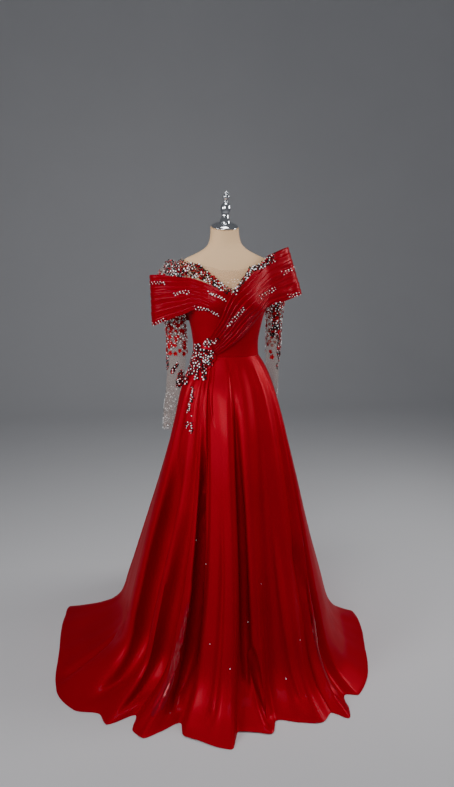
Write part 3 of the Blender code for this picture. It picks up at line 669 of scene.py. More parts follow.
# Uneven waves in the cloth, a row each: rise, seed, how many, pace across, pace along
WAVES = {
    "skirt_crushed": (0.0019, 8, 14, 2.4, 90.0),
    "skirt_broad": (0.0012, 5, 14, 0.16, 3.6),
    "skirt_fine": (0.0007, 6, 16, 0.42, 18.2),
    "bodice": (0.0004, 9, 12, 0.10, 48.0),
    "drape_wander": (0.016, 0, 8, 9.0, 2.0),
    "drape_fine": (0.00012, 1, 12, 8.0, 60.0),
    "drape_crushed": (0.0010, 2, 12, 60.0, 26.0),
    "drape_broad": (0.0006, 3, 10, 8.0, 6.0),
    "sleeve": (0.0012, 0, 14, 1.0, 3.6),
}


def waves(name, a, b, seed=0):
    """Smooth uneven relief over two places."""
    rise, own_seed, count, pace_a, pace_b = WAVES[name]
    rng = np.random.default_rng(seed + own_seed)
    total = 0
    for _ in range(count):
        wave_a, wave_b = rng.normal(0, 1, 2)
        total = total + np.sin(wave_a * pace_a * a + wave_b * pace_b * b + rng.uniform(0, 2 * np.pi))
    return rise * total / math.sqrt(count)


def cloth(name, kind, look_of, shape, us, vs, step, relief=None, side=1, closed=False, top=math.inf):
    """A sheet of satin or net over a surface, raised by its relief, in place of the node of this name."""
    u, v = np.meshgrid(us, vs)
    normal = side * facing(shape, u, v, step)
    points = shape(u, v)
    if relief:
        points = points + normal * relief(u, v)[..., None]
    points[..., 2] = np.clip(points[..., 2], HEM_OUTSIDE, top)
    thickness = CLOTH if kind == "satin" else NET_CLOTH
    return finished(shell(f"{name}_{kind}", points, normal, thickness, look_of, closed), kind, name)


# Creases besides the folds, a row each:
# fold at its top, fold at its foot, top height, foot height, half width in degrees, rise
CREASES = [
    (-4.4, -4.4, 1.112, 0.02, 1, 0.005),
    (-26.7, -15.3, 1.075, 0.84, 1.3, 0.0036),
    (-41.7, -29.9, 1.09, 0.955, 1.3, 0.0032),
    (-30.5, -26, 1.095, 0.64, 1.2, 0.0034),
    (-35.5, -32, 1.095, 0.56, 1.3, 0.0038),
    (-38.6, -37.8, 1.085, 0.76, 1, 0.003),
    (-43.3, -42.4, 1.07, 0.62, 1.1, 0.0034),
    (-47.5, -51.5, 1.06, 0.42, 1.4, 0.0048),
    (-54, -58, 1.05, 0.7, 1.8, 0.0026),
    (-21.5, -20, 1.09, 0.88, 1.2, 0.0024),
    (7, 9, 1.1, 0.7, 2.6, 0.0018),
    (24, 27, 1.095, 0.56, 2.4, 0.0024),
    (40, 44, 1.09, 0.64, 3, 0.002),
    (-31.2, -34.2, 0.42, -0.2, 0.9, 0.005),
    (36.5, 36, 0.3, -0.2, 0.9, 0.004),
]
# Crinkled stretches, with the same columns but for the last, which is how crushed they are
CRINKLES = [(-31, -34.2, 0.36, 0.008, 2.4, 1), (33, 36, 0.26, 0.01, 1.6, 1)]
# Where the hollows are drawn in deeper than on the solids, a row each:
# fold at its top, fold at its foot, top height, foot height, half width in degrees, depth
DEEPER = [
    (-49, -53.8, 0.85, 0.004, 3.6, 0.038),
    (-42.6, -43.4, 0.56, 0.004, 1.6, 0.024),
    (-30.2, -27.2, 0.9, 0.004, 2.2, 0.03),
    (-12.5, -13.5, 0.7, 0.01, 1.8, 0.01),
    (-0.8, 0.2, 0.9, 0.06, 2.5, 0.02),
    (3, 7.5, 0.22, 0.004, 1.7, 0.018),
    (17.5, 21, 0.6, 0.01, 1.8, 0.01),
    (31, 35, 0.52, 0.01, 1.8, 0.014),
    (-80, -72, 0.1, 0.002, 2, 0.01),
]

# The cloth as it was cut, where it shows, a row each: width, length, area, how it is held, what it rests on
CUTS = {
    "skirt_front_satin": (0.91, 1.24, 0.69, "hung", ("bodice_front_satin",)),
    "skirt_side_right_satin": (1.18, 1.32, 0.78, "hung", ("bodice_front_satin",)),
    "skirt_side_left_satin": (0.96, 1.23, 0.54, "hung", ("bodice_front_satin",)),
    "skirt_back_right_satin": (0.68, 1.26, 0.42, "hung", ("bodice_back_right_satin",)),
    "skirt_back_left_satin": (0.8, 1.25, 0.5, "hung", ("bodice_back_left_satin",)),
    "bodice_front_satin": (0.45, 0.21, 0.08, "stretched", ("form_cover",)),
    "bodice_back_right_satin": (0.205, 0.205, 0.036, "stretched", ("form_cover",)),
    "bodice_back_left_satin": (0.205, 0.205, 0.036, "stretched", ("form_cover",)),
    "yoke_front_net": (0.45, 0.16, 0.037, "stretched", ("form_cover",)),
    "yoke_back_right_net": (0.21, 0.17, 0.02, "stretched", ("form_cover",)),
    "yoke_back_left_net": (0.21, 0.17, 0.02, "stretched", ("form_cover",)),
    "drape_right_satin": (0.18, 0.7, 0.101, "gathered", ("bodice_front_satin", "sleeve_right_net")),
    "drape_left_satin": (0.185, 0.89, 0.129, "gathered", ("bodice_front_satin", "sleeve_left_net")),
    "sleeve_right_net": (0.41, 0.7, 0.148, "hung", ("yoke_front_net",)),
    "sleeve_left_net": (0.41, 0.7, 0.141, "hung", ("yoke_front_net",)),
}


def declare_cuts(pieces):
    for piece in pieces:
        width, length, area, held, under_it = CUTS[piece.name]
        list(under_it)


def crinkled(fold, height):
    """How crushed the satin is there, from 0 to 1."""
    return np.max(list(along_folds(CRINKLES, fold, height, 0.2, 0.85)), axis=0)


def skirt_relief(fold, height):
    """How far the satin stands off the skirt's outer face."""
    relief = sum(along_folds(CREASES, fold, height, 0.10, 0.55))
    relief = relief - sum(along_folds(DEEPER, fold, height, 0.45, 0.93))
    relief = relief + crinkled(fold, height) * waves("skirt_crushed", fold, height)
    low = 1 - smooth(0.0, 0.75, height)
    relief = relief + (0.35 + low) * waves("skirt_broad", fold, height)
    relief = relief + low * waves("skirt_fine", fold, height)
    return relief * smooth(WAIST, WAIST - 0.02, height) - SKIRT_INSET


GORE_GAP, BODICE_GAP = 0.03, 0.05  # degrees from a seam to the cloth beside it
HEM_START, HEM_POWER = 0.0012, 1.35  # the lowest row of the skirt, and how much denser the rows are there
CRUSHED_FROM = 0.3  # how crushed the satin is where it takes its crushed look


def skirt_pieces():
    """The five gores of the skirt, each between two folds."""
    heights = WAIST * np.linspace(0, 1, 150) ** HEM_POWER
    heights[0] = HEM_START
    made = []
    for name, start, end, columns in (
        ("skirt_back_right", -180.0, -125.0, 70),
        ("skirt_side_right", -125.0, -40.5, 110),
        ("skirt_front", -40.5, 29.7, 130),
        ("skirt_side_left", 29.7, 115.0, 110),
        ("skirt_back_left", 115.0, 180.0, 80),
    ):
        folds = np.linspace(start + GORE_GAP, end - GORE_GAP, columns)
        surface = (skirt_outside, folds, heights, (0.05, 0.0005), skirt_relief)
        piece = cloth(name, "satin", SATIN_RED, *surface, top=WAIST)
        mesh = piece.data
        mesh.materials.append(CRUSHED_RED)
        crushed = crinkled(*np.meshgrid(folds[:-1], heights[:-1])).ravel() > CRUSHED_FROM
        mesh.polygons.foreach_set("material_index", np.resize(crushed, len(mesh.polygons)).astype(np.int32))
        made.append(piece)
    return made


def bodice_pieces():
    """The front and the two backs of the satin bodice."""

    def shape(angle, height):
        return on_form((angle + 180) % 360 - 180, height, LINING + SATIN)

    def relief(angle, height):
        return waves("bodice", angle, height)

    heights = np.linspace(WAIST + SEAM, BODICE_TOP, 46)
    made = []
    for name, start, end, columns in (
        ("bodice_front", -90, 90, 110),
        ("bodice_back_left", 90, 180, 50),
        ("bodice_back_right", 180, 270, 50),
    ):
        angles = np.linspace(start + BODICE_GAP, end - BODICE_GAP, columns)
        made.append(cloth(name, "satin", SATIN_RED, shape, angles, heights, (0.01, 0.001), relief))
    return made


def yoke_pieces():
    """The front and the two backs of the net yoke."""
    rows = np.linspace(0, 1, 60)
    half = np.sin(np.radians(np.linspace(0, 90, 40)))
    made = []
    for name, middle, neckline, columns in (
        ("yoke_front", 0, NECKLINE_FRONT, np.concatenate([-half[:0:-1], half])),
        ("yoke_back_left", 180, NECKLINE_BACK, -half[::-1]),
        ("yoke_back_right", 180, NECKLINE_BACK, half),
    ):
        shape = yoke_outside(middle, neckline)
        made.append(cloth(name, "net", NET_FORM, shape, columns, rows, (0.0005, 0.002)))
    return made


# The pleats: their edges across the drape, each one's share of the depth, the rise across one of them,
# and its creases with place, rise and waves along it
PLEAT_EDGES = np.array([0, 0.105, 0.245, 0.36, 0.505, 0.63, 0.735, 0.885, 1])
PLEAT_LIFTS = np.array([0.9, 1.15, 0.8, 1.1, 0.95, 0.7, 1.15, 0.9])
PLEAT_SECTION = [0, 0.12, 0.24, 0.60, 1], [0, 0.90, 1, 0.50, 0]
PLEAT_CREASES = [(0.24, 0.14, 3), (0.50, 0.16, 4), (0.78, 0.12, 5)]


def pleat_rise(u, v):
    """A pleat's rise across its width: a quick lift at the fold, a long flat fall and fine creases."""
    index = np.clip(np.searchsorted(PLEAT_EDGES, v, side="right") - 1, 0, len(PLEAT_LIFTS) - 1)
    share = (v - PLEAT_EDGES[index]) / (PLEAT_EDGES[index + 1] - PLEAT_EDGES[index])
    rise = np.interp(share, *PLEAT_SECTION)
    for place, high, pace in PLEAT_CREASES:
        fade = 0.55 + 0.45 * np.sin(2 * np.pi * pace * u + 2.1 * index + 5 * place)
        rise = rise + high * fade * hump(share, place, 0.07)
    return rise * PLEAT_LIFTS[index]


def drape_relief(depth, tip, seed):
    """The pleats of a drape and the unevenness of its satin, most crushed at its outer tip."""

    def relief(u, v):
        wander = waves("drape_wander", u, v, seed) * np.sin(np.pi * v)
        inset = smooth(0, 0.03, v) * smooth(1, 0.97, v)
        pleats = depth(u) * pleat_rise(u, np.clip(v + wander, 0, 0.9999)) * (0.35 + 0.65 * inset)
        uneven = waves("drape_fine", u, v, seed) + waves("drape_broad", u, v, seed)
        crushed = hump(u, tip, 0.05) * waves("drape_crushed", u, v, seed)
        return SATIN - INSET + pleats + (uneven + crushed) * inset

    return relief


def drape_pieces():
    """The two pleated drapes. The last number of a row says how far along the drape its outer tip lies."""
    made = []
    for name, rows, columns, side, seed, tip in (
        ("drape_right", DRAPE_RIGHT, 190, 1, 21, 0.42),
        ("drape_left", DRAPE_LEFT, 210, -1, 22, 0.52),
    ):
        shape, depth = drape_surface(rows)
        surface = (shape, np.linspace(0, 1, columns), np.linspace(0, 1, 141), (0.002, 0.004))
        made.append(cloth(name, "satin", PLEAT_RED_SHADED, *surface, drape_relief(depth, tip, seed), side))
    return made


SLEEVE_STEP = (1.0, 0.02)  # degrees round a sleeve and sections along it, for its normals


def sleeve_pieces():
    """The two net sleeves."""
    made = []
    turn = np.linspace(0, 360, 64, endpoint=False)
    for name, rows, side, seed in (
        ("sleeve_right", SLEEVE_RIGHT, 1, 31),
        ("sleeve_left", SLEEVE_LEFT, -1, 32),
    ):

        def relief(t, s, seed=seed):
            place = 3 * np.cos(np.radians(t)) + np.sin(np.radians(t))
            return NET + waves("sleeve", place, s, seed) * smooth(0.5, 2.5, s)

        surface = (sleeve_surface(rows, -side), turn, np.linspace(0, len(rows), 150), SLEEVE_STEP)
        made.append(cloth(name, "net", NET_SLEEVE, *surface, relief, side, closed=True))
    return made


BACKING_WALL, BACKING_DOME = 0.6, 0.8  # shares of the solid's wall and dome
BACKING_THICKNESS = 0.001


def ornament_piece():
    """The domed backing of the ornament at the hip."""
    u, v = np.meshgrid(np.linspace(-1, 1, 36), np.linspace(-1, 1, 36))
    dome = ORNAMENT_DOME * (1 - u**2 * (1 - v**2 / 2) - v**2 * (1 - u**2 / 2))
    normal = facing(ornament_inside, u, v, (0.002, 0.002))
    rise = ORNAMENT_WALL * BACKING_WALL + dome * BACKING_DOME
    points = ornament_inside(u, v) + normal * rise[..., None]
    piece = shell("hip_backing", points, normal, BACKING_THICKNESS, SATIN_RED)
    return finished(piece, "crystal", "hip_ornament")


# The form and its stand


def chrome_piece(name, rows, count, node_name, set_on):
    """A piece turned from a table of radii and heights, set on its place."""
    table = [(place, *row) for place, row in enumerate(rows)]
    turn = np.linspace(0, 360, 72, endpoint=False)
    sizes = curve(table, np.linspace(0, len(rows) - 1, count)).T
    rings = [set_on(around(turn, np.full(72, radius), height)) for radius, height in sizes]
    finished(turned_body(name, rings, CHROME), "chrome", node_name)


def form_pieces():
    """The covered form, its chrome cap and finial, and the look of the stand's own nodes."""
    turn = np.linspace(-180, 180, 120, endpoint=False)
    heights = [FORM_BOTTOM, *np.linspace(FORM_BOTTOM + 0.004, FORM_TOP - 0.002, 110), FORM_TOP]
    rings = [leaning(on_form(turn, np.full(120, height), -INSET)) for height in heights]
    finished(turned_body("form_cover", rings, COVER), "form_cover", "form_torso")
    chrome_piece("neck_cap_chrome", NECK_CAP, 40, "neck_cap", on_neck)
    chrome_piece("neck_finial_chrome", FINIAL, 120, "neck_finial", on_cap)
    for name in ("stand_pole", "stand_base"):
        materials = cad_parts[name].data.materials
        materials.clear()
        materials.append(STEEL)


# Beads and crystals

GEM_SIDES = 6
STONE_LIFT, PETAL_LIFT = 0.0004, 0.0015  # from the cloth to a stone's girdle and to a petal's root
SLEEVE_LIFT = 0.0006  # from the net of the sleeves to the stones down them
PIXEL = 0.0037  # a pixel's width at the sleeves


def gem_shape():
    """A cut stone: a girdle, a smaller table above and a point below."""
    turn = np.radians(np.arange(GEM_SIDES) * 360 / GEM_SIDES)
    girdle = np.stack([np.cos(turn), np.sin(turn), 0 * turn + 0.15], -1)
    crown = np.stack([0.55 * np.cos(turn + 0.5), 0.55 * np.sin(turn + 0.5), 0 * turn + 0.55], -1)
    points = np.concatenate([girdle, crown, [[0, 0, 0.62]], [[0, 0, -0.25]]])
    faces = []
    for i in range(GEM_SIDES):
        j = (i + 1) % GEM_SIDES
        faces += [(i, j, GEM_SIDES + i), (j, GEM_SIDES + j, GEM_SIDES + i)]
        faces += [(GEM_SIDES + i, GEM_SIDES + j, 2 * GEM_SIDES), (j, i, 2 * GEM_SIDES + 1)]
    return points, np.array(faces)


def bead_shape():
    """A small eight-faced bead."""
    points = np.array([[1, 0, 0.2], [0, 1, 0.2], [-1, 0, 0.2], [0, -1, 0.2], [0, 0, 1.0], [0, 0, -0.3]])
    faces = [(i, (i + 1) % 4, 4) for i in range(4)] + [((i + 1) % 4, i, 5) for i in range(4)]
    return points, np.array(faces)


def petal_shape():
    """A small cupped leaf of cloth, pointing along X."""
    along = np.array([0.0, 0.25, 0.55, 0.85, 1.0])
    wide = np.array([0.08, 0.30, 0.38, 0.25, 0.03])
    rise = np.array([0.10, 0.22, 0.30, 0.26, 0.14])
    rows = [(along, wide, rise), (along, 0 * wide, rise - 0.10), (along, -wide, rise)]
    points = np.concatenate([np.stack(row, -1) for row in rows])
    faces = []
    for a in (0, 1, 2, 3, 5, 6, 7, 8):
        faces += [(a, a + 6, a + 1), (a, a + 5, a + 6)]
    return points, np.array(faces)


def scattered(name, shape, spots, look_of, slot_name, seed, flat=True):
    """One mesh of copies. Each spot is a point, a normal, a size, and a turn in degrees or None for any."""
    points, faces = shape
    rng = np.random.default_rng(seed)
    places = []
    for at, normal, size, turn in spots:
        normal = unit(normal + rng.normal(0, 0.16, 3) if flat else normal)
        x = unit(np.cross((0, 0, 1) if abs(normal[2]) < 0.9 else (0, 1, 0), normal))
        y = np.cross(normal, x)
        angle = rng.uniform(0, 2 * np.pi) if turn is None else math.radians(turn)
        x, y = x * math.cos(angle) + y * math.sin(angle), y * math.cos(angle) - x * math.sin(angle)
        places.append(at + size * (points @ np.stack([x, y, normal])))
    faces = np.concatenate([faces + count * len(points) for count in range(len(places))])
    return finished(mesh_object(name, np.concatenate(places), faces, look_of, flat), slot_name)


def under(x, y, tree):
    """The point and normal of the cloth that a pixel of the photograph shows, where it shows any."""
    aim = Vector(((x - MIDDLE_X) / FOCAL, (MIDDLE_Y - y) / FOCAL, -1.0))
    aim = (CAMERA.matrix_world.to_3x3() @ aim).normalized()
    at, normal, _, _ = tree.ray_cast(EYE, aim)
    if at is None:
        return []
    return [(np.array(at), np.array(-normal if normal.dot(aim) > 0 else normal))]


def tree_of(pieces):
    """The pieces as one surface to look up points on."""
    points, faces = [], []
    for piece in pieces:
        first = len(points)
        points += [tuple(vertex.co) for vertex in piece.data.vertices]
        faces += [tuple(v + first for v in polygon.vertices) for polygon in piece.data.polygons]
    return BVHTree.FromPolygons(points, faces)


def along_line(line, spacing):
    """Places along a broken line of pixels, this far apart."""
    line = np.asarray(line, float)
    length = lengths(line)
    at = np.arange(0, length[-1] + 1e-6, spacing)
    return np.stack([np.interp(at, length, line[:, 0]), np.interp(at, length, line[:, 1])], -1)


def apart(places, spacing):
    """Which of the places lie this far from all kept before them."""
    kept = []
    for index, place in enumerate(places):
        if not kept or np.linalg.norm(places[kept] - place, axis=1).min() > spacing:
            kept.append(index)
    return kept


def inside_of(outline, spacing, rng):
    """Evenly scattered places inside an outline of pixels."""
    outline = np.asarray(outline, float)
    places = rng.uniform(outline.min(axis=0), outline.max(axis=0), (5000, 2))
    x, y = outline.T
    nx, ny = np.roll(x, -1), np.roll(y, -1)
    rise = np.where(ny == y, 1e-9, ny - y)
    px, py = places[:, :1], places[:, 1:]
    crossing = ((y > py) != (ny > py)) & (px < (nx - x) * (py - y) / rise + x)
    places = places[crossing.sum(axis=1) % 2 == 1]
    return places[apart(places, spacing)]


def crystals_on(tree, places, rng, size, spread, stray=None):
    """Spots for stones of uneven size where these pixels show cloth, each pixel astray by chance."""
    if stray is not None:
        places = places + rng.normal(0, stray, places.shape)
    spots = []
    for x, y in places:
        for at, normal in under(x, y, tree):
            size_here = size * rng.uniform(1 - spread, 1 + spread)
            spots.append((at + normal * STONE_LIFT, normal, size_here, None))
    return spots


# Lines of crystals along the pleats, in the photograph's pixels
LINES_RIGHT = [
    [(150, 284), (158, 282.5), (165, 283)],
    [(175, 294), (184, 292), (192, 292)],
    [(209, 293), (218, 296.5), (226, 301)],
    [(196, 308), (208, 309.5), (220, 316)],
    [(151, 325), (158, 322.5), (166, 319)],
]
LINES_LEFT = [
    [(258, 268), (267, 264), (276, 260)],
    [(283, 273), (289, 270), (294, 268)],
    [(260, 297), (268, 292), (275, 288)],
    [(228, 326), (236, 317), (244, 308)],
    [(288, 296), (295, 295), (300, 293)],
    [(205, 345), (211, 341), (218, 339)],
]
# Outlines of the crystal clusters at the neckline and the hip, in the same pixels
CLUSTER_RIGHT = [
    (164, 258), (172, 254.5), (184, 255), (192, 259), (199, 263), (205, 269.5), (214, 276), (222, 283.5),
    (233, 290.5), (236, 294.5), (230, 295), (224, 292.5), (216, 288), (207, 282.5), (198, 278), (184, 277),
    (172, 277), (165, 272), (163, 265),
]
CLUSTER_LEFT = [
    (250, 266), (255, 258.5), (261, 254.5), (269, 253.5), (275.5, 252), (273, 257.5), (270, 262),
    (266, 266.5), (258, 270), (252, 272.5), (247, 279.5), (242, 285), (236, 292.5), (233.5, 290.5),
    (239, 283.5), (245, 274.5),
]
HIP = [
    (196, 344), (200, 343), (202, 349), (208, 350), (213, 351), (214, 355), (212, 360), (213, 365),
    (207, 367), (206.5, 373), (206, 380), (202.5, 380), (202, 372), (199, 370), (198.5, 380), (195, 380),
    (196, 373.5), (190, 375.5), (186, 375.5), (188, 371), (190, 366), (191.5, 358), (192, 352), (195, 351),
]
HIP_SPRIGS = [
    [(186, 375), (188.5, 378), (187.5, 385), (184, 384), (180, 388), (176, 386), (176, 380), (180, 377)],
    [(179, 373), (181, 369.5), (183.5, 371), (182, 375), (180, 376)],
    [(204, 343), (208, 338), (211.5, 343), (209, 347), (205, 346.5)],
    [(214.5, 342.5), (217, 338), (218.8, 339.5), (216.5, 343)],
]
HIP_HEART = (206.4, 360)
# Strings of crystals that hang from the hip cluster: start, end, how many
HIP_STRINGS = [
    ((193, 387.5), (192.3, 396.6), 6),
    ((192.3, 397.5), (190, 403), 4),
    ((190, 404.5), (188.5, 412.7), 5),
    ((190.8, 416), (190.6, 417), 1),
    ((188.5, 422.6), (187, 428), 4),
    ((191.6, 423.3), (192, 433), 5),
]
# Single small stones on the skirt, and the outline of those on the yoke
SKIRT_STONES = [
    (210, 644), (230, 669), (286, 679), (261, 584), (206, 564), (196, 540), (248, 622), (300, 640),
]
YOKE_DOTS = [(213, 279), (244, 279), (233, 292), (229, 291)]
# Sprigs of stones on the sleeves, and flowers of red cloth there with the reach of their petals
SLEEVE_SPRIGS = [
    [(166, 352), (169, 356), (168.7, 369), (167.2, 370), (166.2, 362)],
    [(171, 370), (174, 366), (177, 362), (178.5, 364), (176, 369), (173.5, 373.5), (171, 373)],
    [(178, 374), (180, 370), (183, 371), (182.5, 376), (182, 381), (179.5, 387), (177, 385), (176.5, 380)],
    [(271, 304), (279.5, 302), (280, 320), (280, 340), (277, 338), (275, 330), (272.5, 328), (272, 316)],
    [(271, 328), (275, 329), (275, 336), (272, 338), (270, 334)],
    [(278, 340), (280.3, 340), (280.5, 356), (279.5, 362.5), (278.3, 362), (276.5, 352), (277, 346)],
    [(276, 363), (277.3, 363), (277.3, 369), (276, 369)],
]
SLEEVE_FLOWERS = [
    (172, 328, 3), (182, 331, 3), (176, 337, 2.6), (183.5, 345.5, 3), (179.5, 350.5, 2.4), (171, 353, 3),
    (175.5, 353.5, 2.6), (169.5, 345, 2.4), (174, 345, 2.4), (181, 322, 2.4), (172.5, 372, 1.8),
    (179, 384, 2), (267.7, 325, 2.5), (268.8, 344.5, 2.3), (271.3, 351.5, 2.6), (272.3, 356.5, 2.9),
    (277, 318, 2.4), (275, 313, 2.4), (278, 331, 2), (277.5, 347, 2),
]


def shared_out(group, spots, shares, seed, shape=gem_shape):
    """The spots handed to differently coloured stones by these shares."""
    pick = np.random.default_rng(seed).uniform(0, 1, len(spots))
    low = 0.0
    for name, share in shares.items():
        mine = [s for s, p in zip(spots, pick) if low <= p < low + share]
        low += share
        if mine:
            scattered(f"{group}_{name}", shape(), mine, STONES[name], "crystal", seed)


def lifted(spots, rng, least, most):
    return [(at + normal * rng.uniform(least, most), normal, size, turn) for at, normal, size, turn in spots]


def cluster(group, outline, tree, rng, seed, spacing):
    """Silver stones set apart over a bed of smaller red and dark ones, the dark ones partly painted shade
    round the stones.
    """
    bed = crystals_on(tree, inside_of(outline, 0.85, rng), rng, 0.0034, 0.2)
    shared_out(group + "_bed", lifted(bed, rng, 0, 0.002), {"red": 0.34, "dark": 0.66}, seed, bead_shape)
    top = crystals_on(tree, inside_of(outline, spacing, rng), rng, 0.0022, 0.6)
    shared_out(group, lifted(top, rng, 0.003, 0.005), {"silver": 0.80, "red": 0.20}, seed + 1)


def drape_crystals(tree, rng):
    """Double rows of silver stones along the pleats, over beds of small beads whose dark ones are partly
    painted shade round the stones.
    """
    for group, lines in (("right", LINES_RIGHT), ("left", LINES_LEFT)):
        bright, bed = [], []
        for line in lines:
            for shift in (-0.9, 0.9):
                places = along_line(line, 2.9) + (0.7 * shift, shift)
                bright += crystals_on(tree, places, rng, 0.0018, 0.35, 0.35)
            bed += crystals_on(tree, along_line(line, 1.1), rng, 0.0023, 0.25, 0.9)
        shared_out("drape_crystals_" + group, lifted(bright, rng, 0.001, 0.003), SILVER_ONLY, 3)
        shared_out("drape_bed_" + group, bed, BED_AND_SHADE, 4, bead_shape)


def hip_flower(tree, rng):
    """Two rings of stones round one larger stone, over the hip's cluster."""
    spots = []
    for ray in range(7):
        turn = math.radians(360 / 7 * ray + 12)
        for step, size in ((2.6, 0.0021), (5.2, 0.0019)):
            place = (HIP_HEART[0] + step * math.cos(turn), HIP_HEART[1] + step * math.sin(turn))
            spots += lifted(crystals_on(tree, [place], rng, size, 0.1), rng, 0.006, 0.009)
    spots += lifted(crystals_on(tree, [HIP_HEART], rng, 0.0030, 0.0), rng, 0.006, 0.008)
    shared_out("hip_flower", spots, {"silver": 0.8, "dark": 0.2}, 7)


def hip_strings(tree, rng):
    """Short strings of stones that hang from the hip, over beads whose dark ones are partly painted shade
    round the stones.
    """
    bright, bed = [], []
    for start, end, count in HIP_STRINGS:
        places = np.linspace(start, end, count)
        bright += crystals_on(tree, np.repeat(places, 2, axis=0)[:-1], rng, 0.0017, 0.35, (0.65, 0.3))
        bed += crystals_on(tree, np.repeat(places, 4, axis=0)[:-3], rng, 0.0028, 0.3, (1.2, 0.8))
    shared_out("hip_strings", lifted(bright, rng, 0.001, 0.003), SILVER_ONLY, 8)
    shared_out("hip_strings_bed_and_shade", bed, BED_AND_SHADE, 9, bead_shape)


def beading(pieces):
    """The stones on the drapes, at the shoulders, at the hip, on the skirt and at the neckline."""
    rng = np.random.default_rng(7)
    tree = tree_of(pieces)
    drape_crystals(tree, rng)
    cluster("shoulder_right", CLUSTER_RIGHT, tree, rng, 5, 2.0)
    cluster("shoulder_left", CLUSTER_LEFT, tree, rng, 15, 2.0)
    for count, outline in enumerate(HIP_SPRIGS):
        cluster(f"hip_sprig_{count + 1}", outline, tree, rng, 60 + 5 * count, 2.1)
    cluster("hip", HIP, tree, rng, 25, 2.15)
    hip_flower(tree, rng)
    hip_strings(tree, rng)
    shared_out("skirt_stones", crystals_on(tree, SKIRT_STONES, rng, 0.0016, 0.1), SILVER_ONLY, 9)
    dots = crystals_on(tree, inside_of(YOKE_DOTS, 2.2, rng), rng, 0.0011, 0.3)
    shared_out("yoke_dots", dots, {"silver": 0.5, "dark": 0.5}, 10)


def on_sleeve(rows, side, turn, section):
    """Points on the outside of a sleeve, and which way the sleeve faces there."""
    shape = sleeve_surface(rows, -side)
    out = side * facing(shape, turn, section, SLEEVE_STEP)
    return shape(turn, section) + out * (NET + SLEEVE_LIFT), out


def flower(place, out, reach, rng):
    """Five petals round a place."""
    first = rng.uniform(0, 72)
    return [(place, out, reach * rng.uniform(0.85, 1.1), first + 72 * k) for k in range(5)]


def sized(at, out, rng, least, most, lift=0.0):
    """Spots for stones of uneven size at these points, lifted along their normals."""
    return [(p + lift * n, n, rng.uniform(least, most), None) for p, n in zip(at, out)]


def applique(name, rows, side, seed, low):
    """Beads, stones and red petals down a sleeve, further on its far side, and beads at its cuff."""
    rng = np.random.default_rng(seed)
    turn, section = rng.uniform(0, 360, 9000), rng.uniform(1.8, 6.8, 9000)
    at, out = on_sleeve(rows, side, turn, section)
    hidden = ((at - np.array(EYE)) * out).sum(axis=-1) > 0
    wobble = 0.16 * np.sin(np.radians(2 * turn + 60)) + 0.12 * np.sin(np.radians(5 * turn + seed))
    kept = section < np.where(hidden, 6.3, low) + wobble
    at, out = at[kept], out[kept]
    kept = apart(at, 0.0040)
    at, out = at[kept], out[kept]
    bed = sized(at, out, rng, 0.0014, 0.0022)
    shared_out("applique_bed_" + name, bed, {"red": 0.46, "dark": 0.54}, seed, bead_shape)
    kept = apart(at, 0.0085)
    top = sized(at[kept], out[kept], rng, 0.0019, 0.0027, 0.0025)
    shared_out("applique_crystals_" + name, top, {"silver": 0.9, "red": 0.1}, seed)
    at, out = at[::-1], out[::-1]
    petals = []
    for i in apart(at, 0.0165):
        petals += flower(at[i] + PETAL_LIFT * out[i], out[i], rng.uniform(0.007, 0.0105), rng)
    scattered("applique_petals_" + name, petal_shape(), petals, PETAL, "satin", seed, flat=False)
    turn, section = rng.uniform(0, 360, 300), 10.0 - 2.3 * rng.beta(1.0, 1.4, 300)
    beads = sized(*on_sleeve(rows, side, turn, section), rng, 0.0013, 0.0022)
    shared_out("cuff_beads_" + name, beads, {"silver": 0.7, "dark": 0.3}, seed + 5, bead_shape)


def sleeve_applique(pieces):
    """Flowers of red cloth among stones on the upper sleeve, silver beads towards the wrist."""
    tree = tree_of(pieces)
    rng = np.random.default_rng(40)
    for count, outline in enumerate(SLEEVE_SPRIGS):
        cluster(f"sleeve_sprig_{count + 1}", outline, tree, rng, 80 + 5 * count, 2.3)
    petals = []
    for x, y, reach in SLEEVE_FLOWERS:
        for at, normal in under(x, y, tree):
            petals += flower(at + normal * 2 * PETAL_LIFT, normal, reach * PIXEL, rng)
    scattered("sleeve_flowers", petal_shape(), petals, PETAL, "satin", 39, flat=False)
    applique("right", SLEEVE_RIGHT, 1, 41, 6.3)
    applique("left", SLEEVE_LEFT, -1, 42, 4.2)


# The studio

# The photograph's camera, with the middle of its view and its horizon in pixels
IMAGE_WIDE, IMAGE_TALL, FOCAL = 454, 787, 600
MIDDLE_X, MIDDLE_Y, HORIZON = 225.5, IMAGE_TALL / 2, 280
CAMERA_BACK, CAMERA_HEIGHT, CAMERA_TURN, SENSOR = 2.158, 1.376, 8.0, 36.0

# The lamps, a row each: place, what it is aimed at, size, power, spread in degrees
LAMPS = {
    "left": ((-2.2, -1.0, 1.9), (0, 0, 1.2), 1.0, 26.0, 180),
    "right": ((2.3, -0.1, 2.0), (0, 0, 1.2), 1.0, 32.0, 180),
    "front": ((-0.7, -1.8, 1.9), (0, 0, 1.25), 0.8, 4.6, 90),
    "top": ((0.1, -0.2, 3.4), (0, 0, 1.4), 0.8, 15.0, 180),
}
# The floor's sweep: where it starts, begins to rise and ends, its radius, its height and its half width
FLOOR_FRONT, FLOOR_BEND, FLOOR_RADIUS, FLOOR_TOP, FLOOR_HALF = -6.0, 4.0, 2.5, 9.0, 14.0
FLOOR_DROP = 0.0005  # how far it lies under the object


def placed(name, data, place, aim):
    """A lamp that stands at a place and is aimed at another."""
    made = linked(name, data)
    made.location = place
    made.rotation_euler = (Vector(aim) - Vector(place)).to_track_quat("-Z", "Y").to_euler()


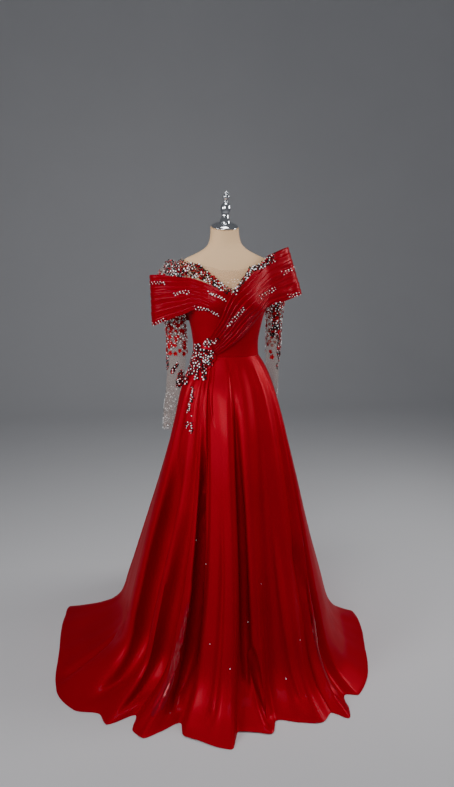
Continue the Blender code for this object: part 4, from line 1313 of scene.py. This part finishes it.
def lights():
    """A dim grey room, a faint sun and four soft lamps."""
    world = bpy.data.worlds.new("studio")
    world.use_nodes = True
    fed(world.node_tree.nodes["Background"], Color=(0.60, 0.62, 0.66, 1), Strength=0.20)
    bpy.context.scene.world = world
    sun = bpy.data.lights.new("sun", "SUN")
    sun.energy, sun.angle = 0.06, math.radians(14)
    placed("sun", sun, (0, 0, 0), (1.8, 2.6, -1.4))
    for name, (place, aim, size, power, spread) in LAMPS.items():
        light = bpy.data.lights.new(name, "AREA")
        light.energy, light.size, light.spread = power, size, math.radians(spread)
        placed(name, light, place, aim)


def floor():
    """A pale floor that curves up behind."""
    turn = np.radians(np.linspace(0, 90, 24))
    bend = zip(FLOOR_BEND + FLOOR_RADIUS * np.sin(turn), FLOOR_RADIUS - FLOOR_RADIUS * np.cos(turn))
    profile = [(FLOOR_FRONT, 0.0), *bend, (FLOOR_BEND + FLOOR_RADIUS, FLOOR_TOP)]
    count = len(profile)
    points = [(x, y, z - FLOOR_DROP) for x in (-FLOOR_HALF, FLOOR_HALF) for y, z in profile]
    mesh = bpy.data.meshes.new("floor")
    mesh.from_pydata(points, [], [(i, i + 1, count + i + 1, count + i) for i in range(count - 1)])
    mesh.flip_normals()
    mesh.shade_smooth()
    pale, paler = (0.70, 0.70, 0.72), (0.74, 0.74, 0.76)
    mesh.materials.append(look("floor", paler, pale, 1.5, (0.6, 0.75), 0.0, 0.05, 90.0))
    linked("floor", mesh)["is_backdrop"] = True


def camera():
    """The photograph's camera, to the wearer's right of the front and looking slightly down."""
    lens = bpy.data.cameras.new("camera")
    lens.lens = FOCAL / IMAGE_TALL * SENSOR
    lens.sensor_width = SENSOR
    lens.sensor_fit = "AUTO"
    lens.shift_x = (IMAGE_WIDE / 2 - MIDDLE_X) / IMAGE_TALL
    lens.clip_start = 0.05
    made = linked("camera", lens)
    made.location = around(-CAMERA_TURN, CAMERA_BACK, CAMERA_HEIGHT)
    pitch = math.atan((MIDDLE_Y - HORIZON) / FOCAL)
    made.rotation_euler = (math.pi / 2 - pitch, 0, -math.radians(CAMERA_TURN))
    bpy.context.scene.camera = made
    bpy.context.view_layer.update()
    return made


CAMERA = camera()
EYE = CAMERA.matrix_world.translation.copy()
lights()
floor()
skirts = skirt_pieces()
bodices = bodice_pieces()
yokes = yoke_pieces()
drapes = drape_pieces()
sleeves = sleeve_pieces()
form_pieces()
backing = ornament_piece()
declare_cuts([*skirts, *bodices, *yokes, *drapes, *sleeves])
beading([*skirts, *bodices, *yokes, *drapes, *sleeves, backing])
sleeve_applique([*skirts, *bodices, *drapes, *sleeves, backing])

[[list(map(float, p)) for p in box] for box in (cad_box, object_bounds())]
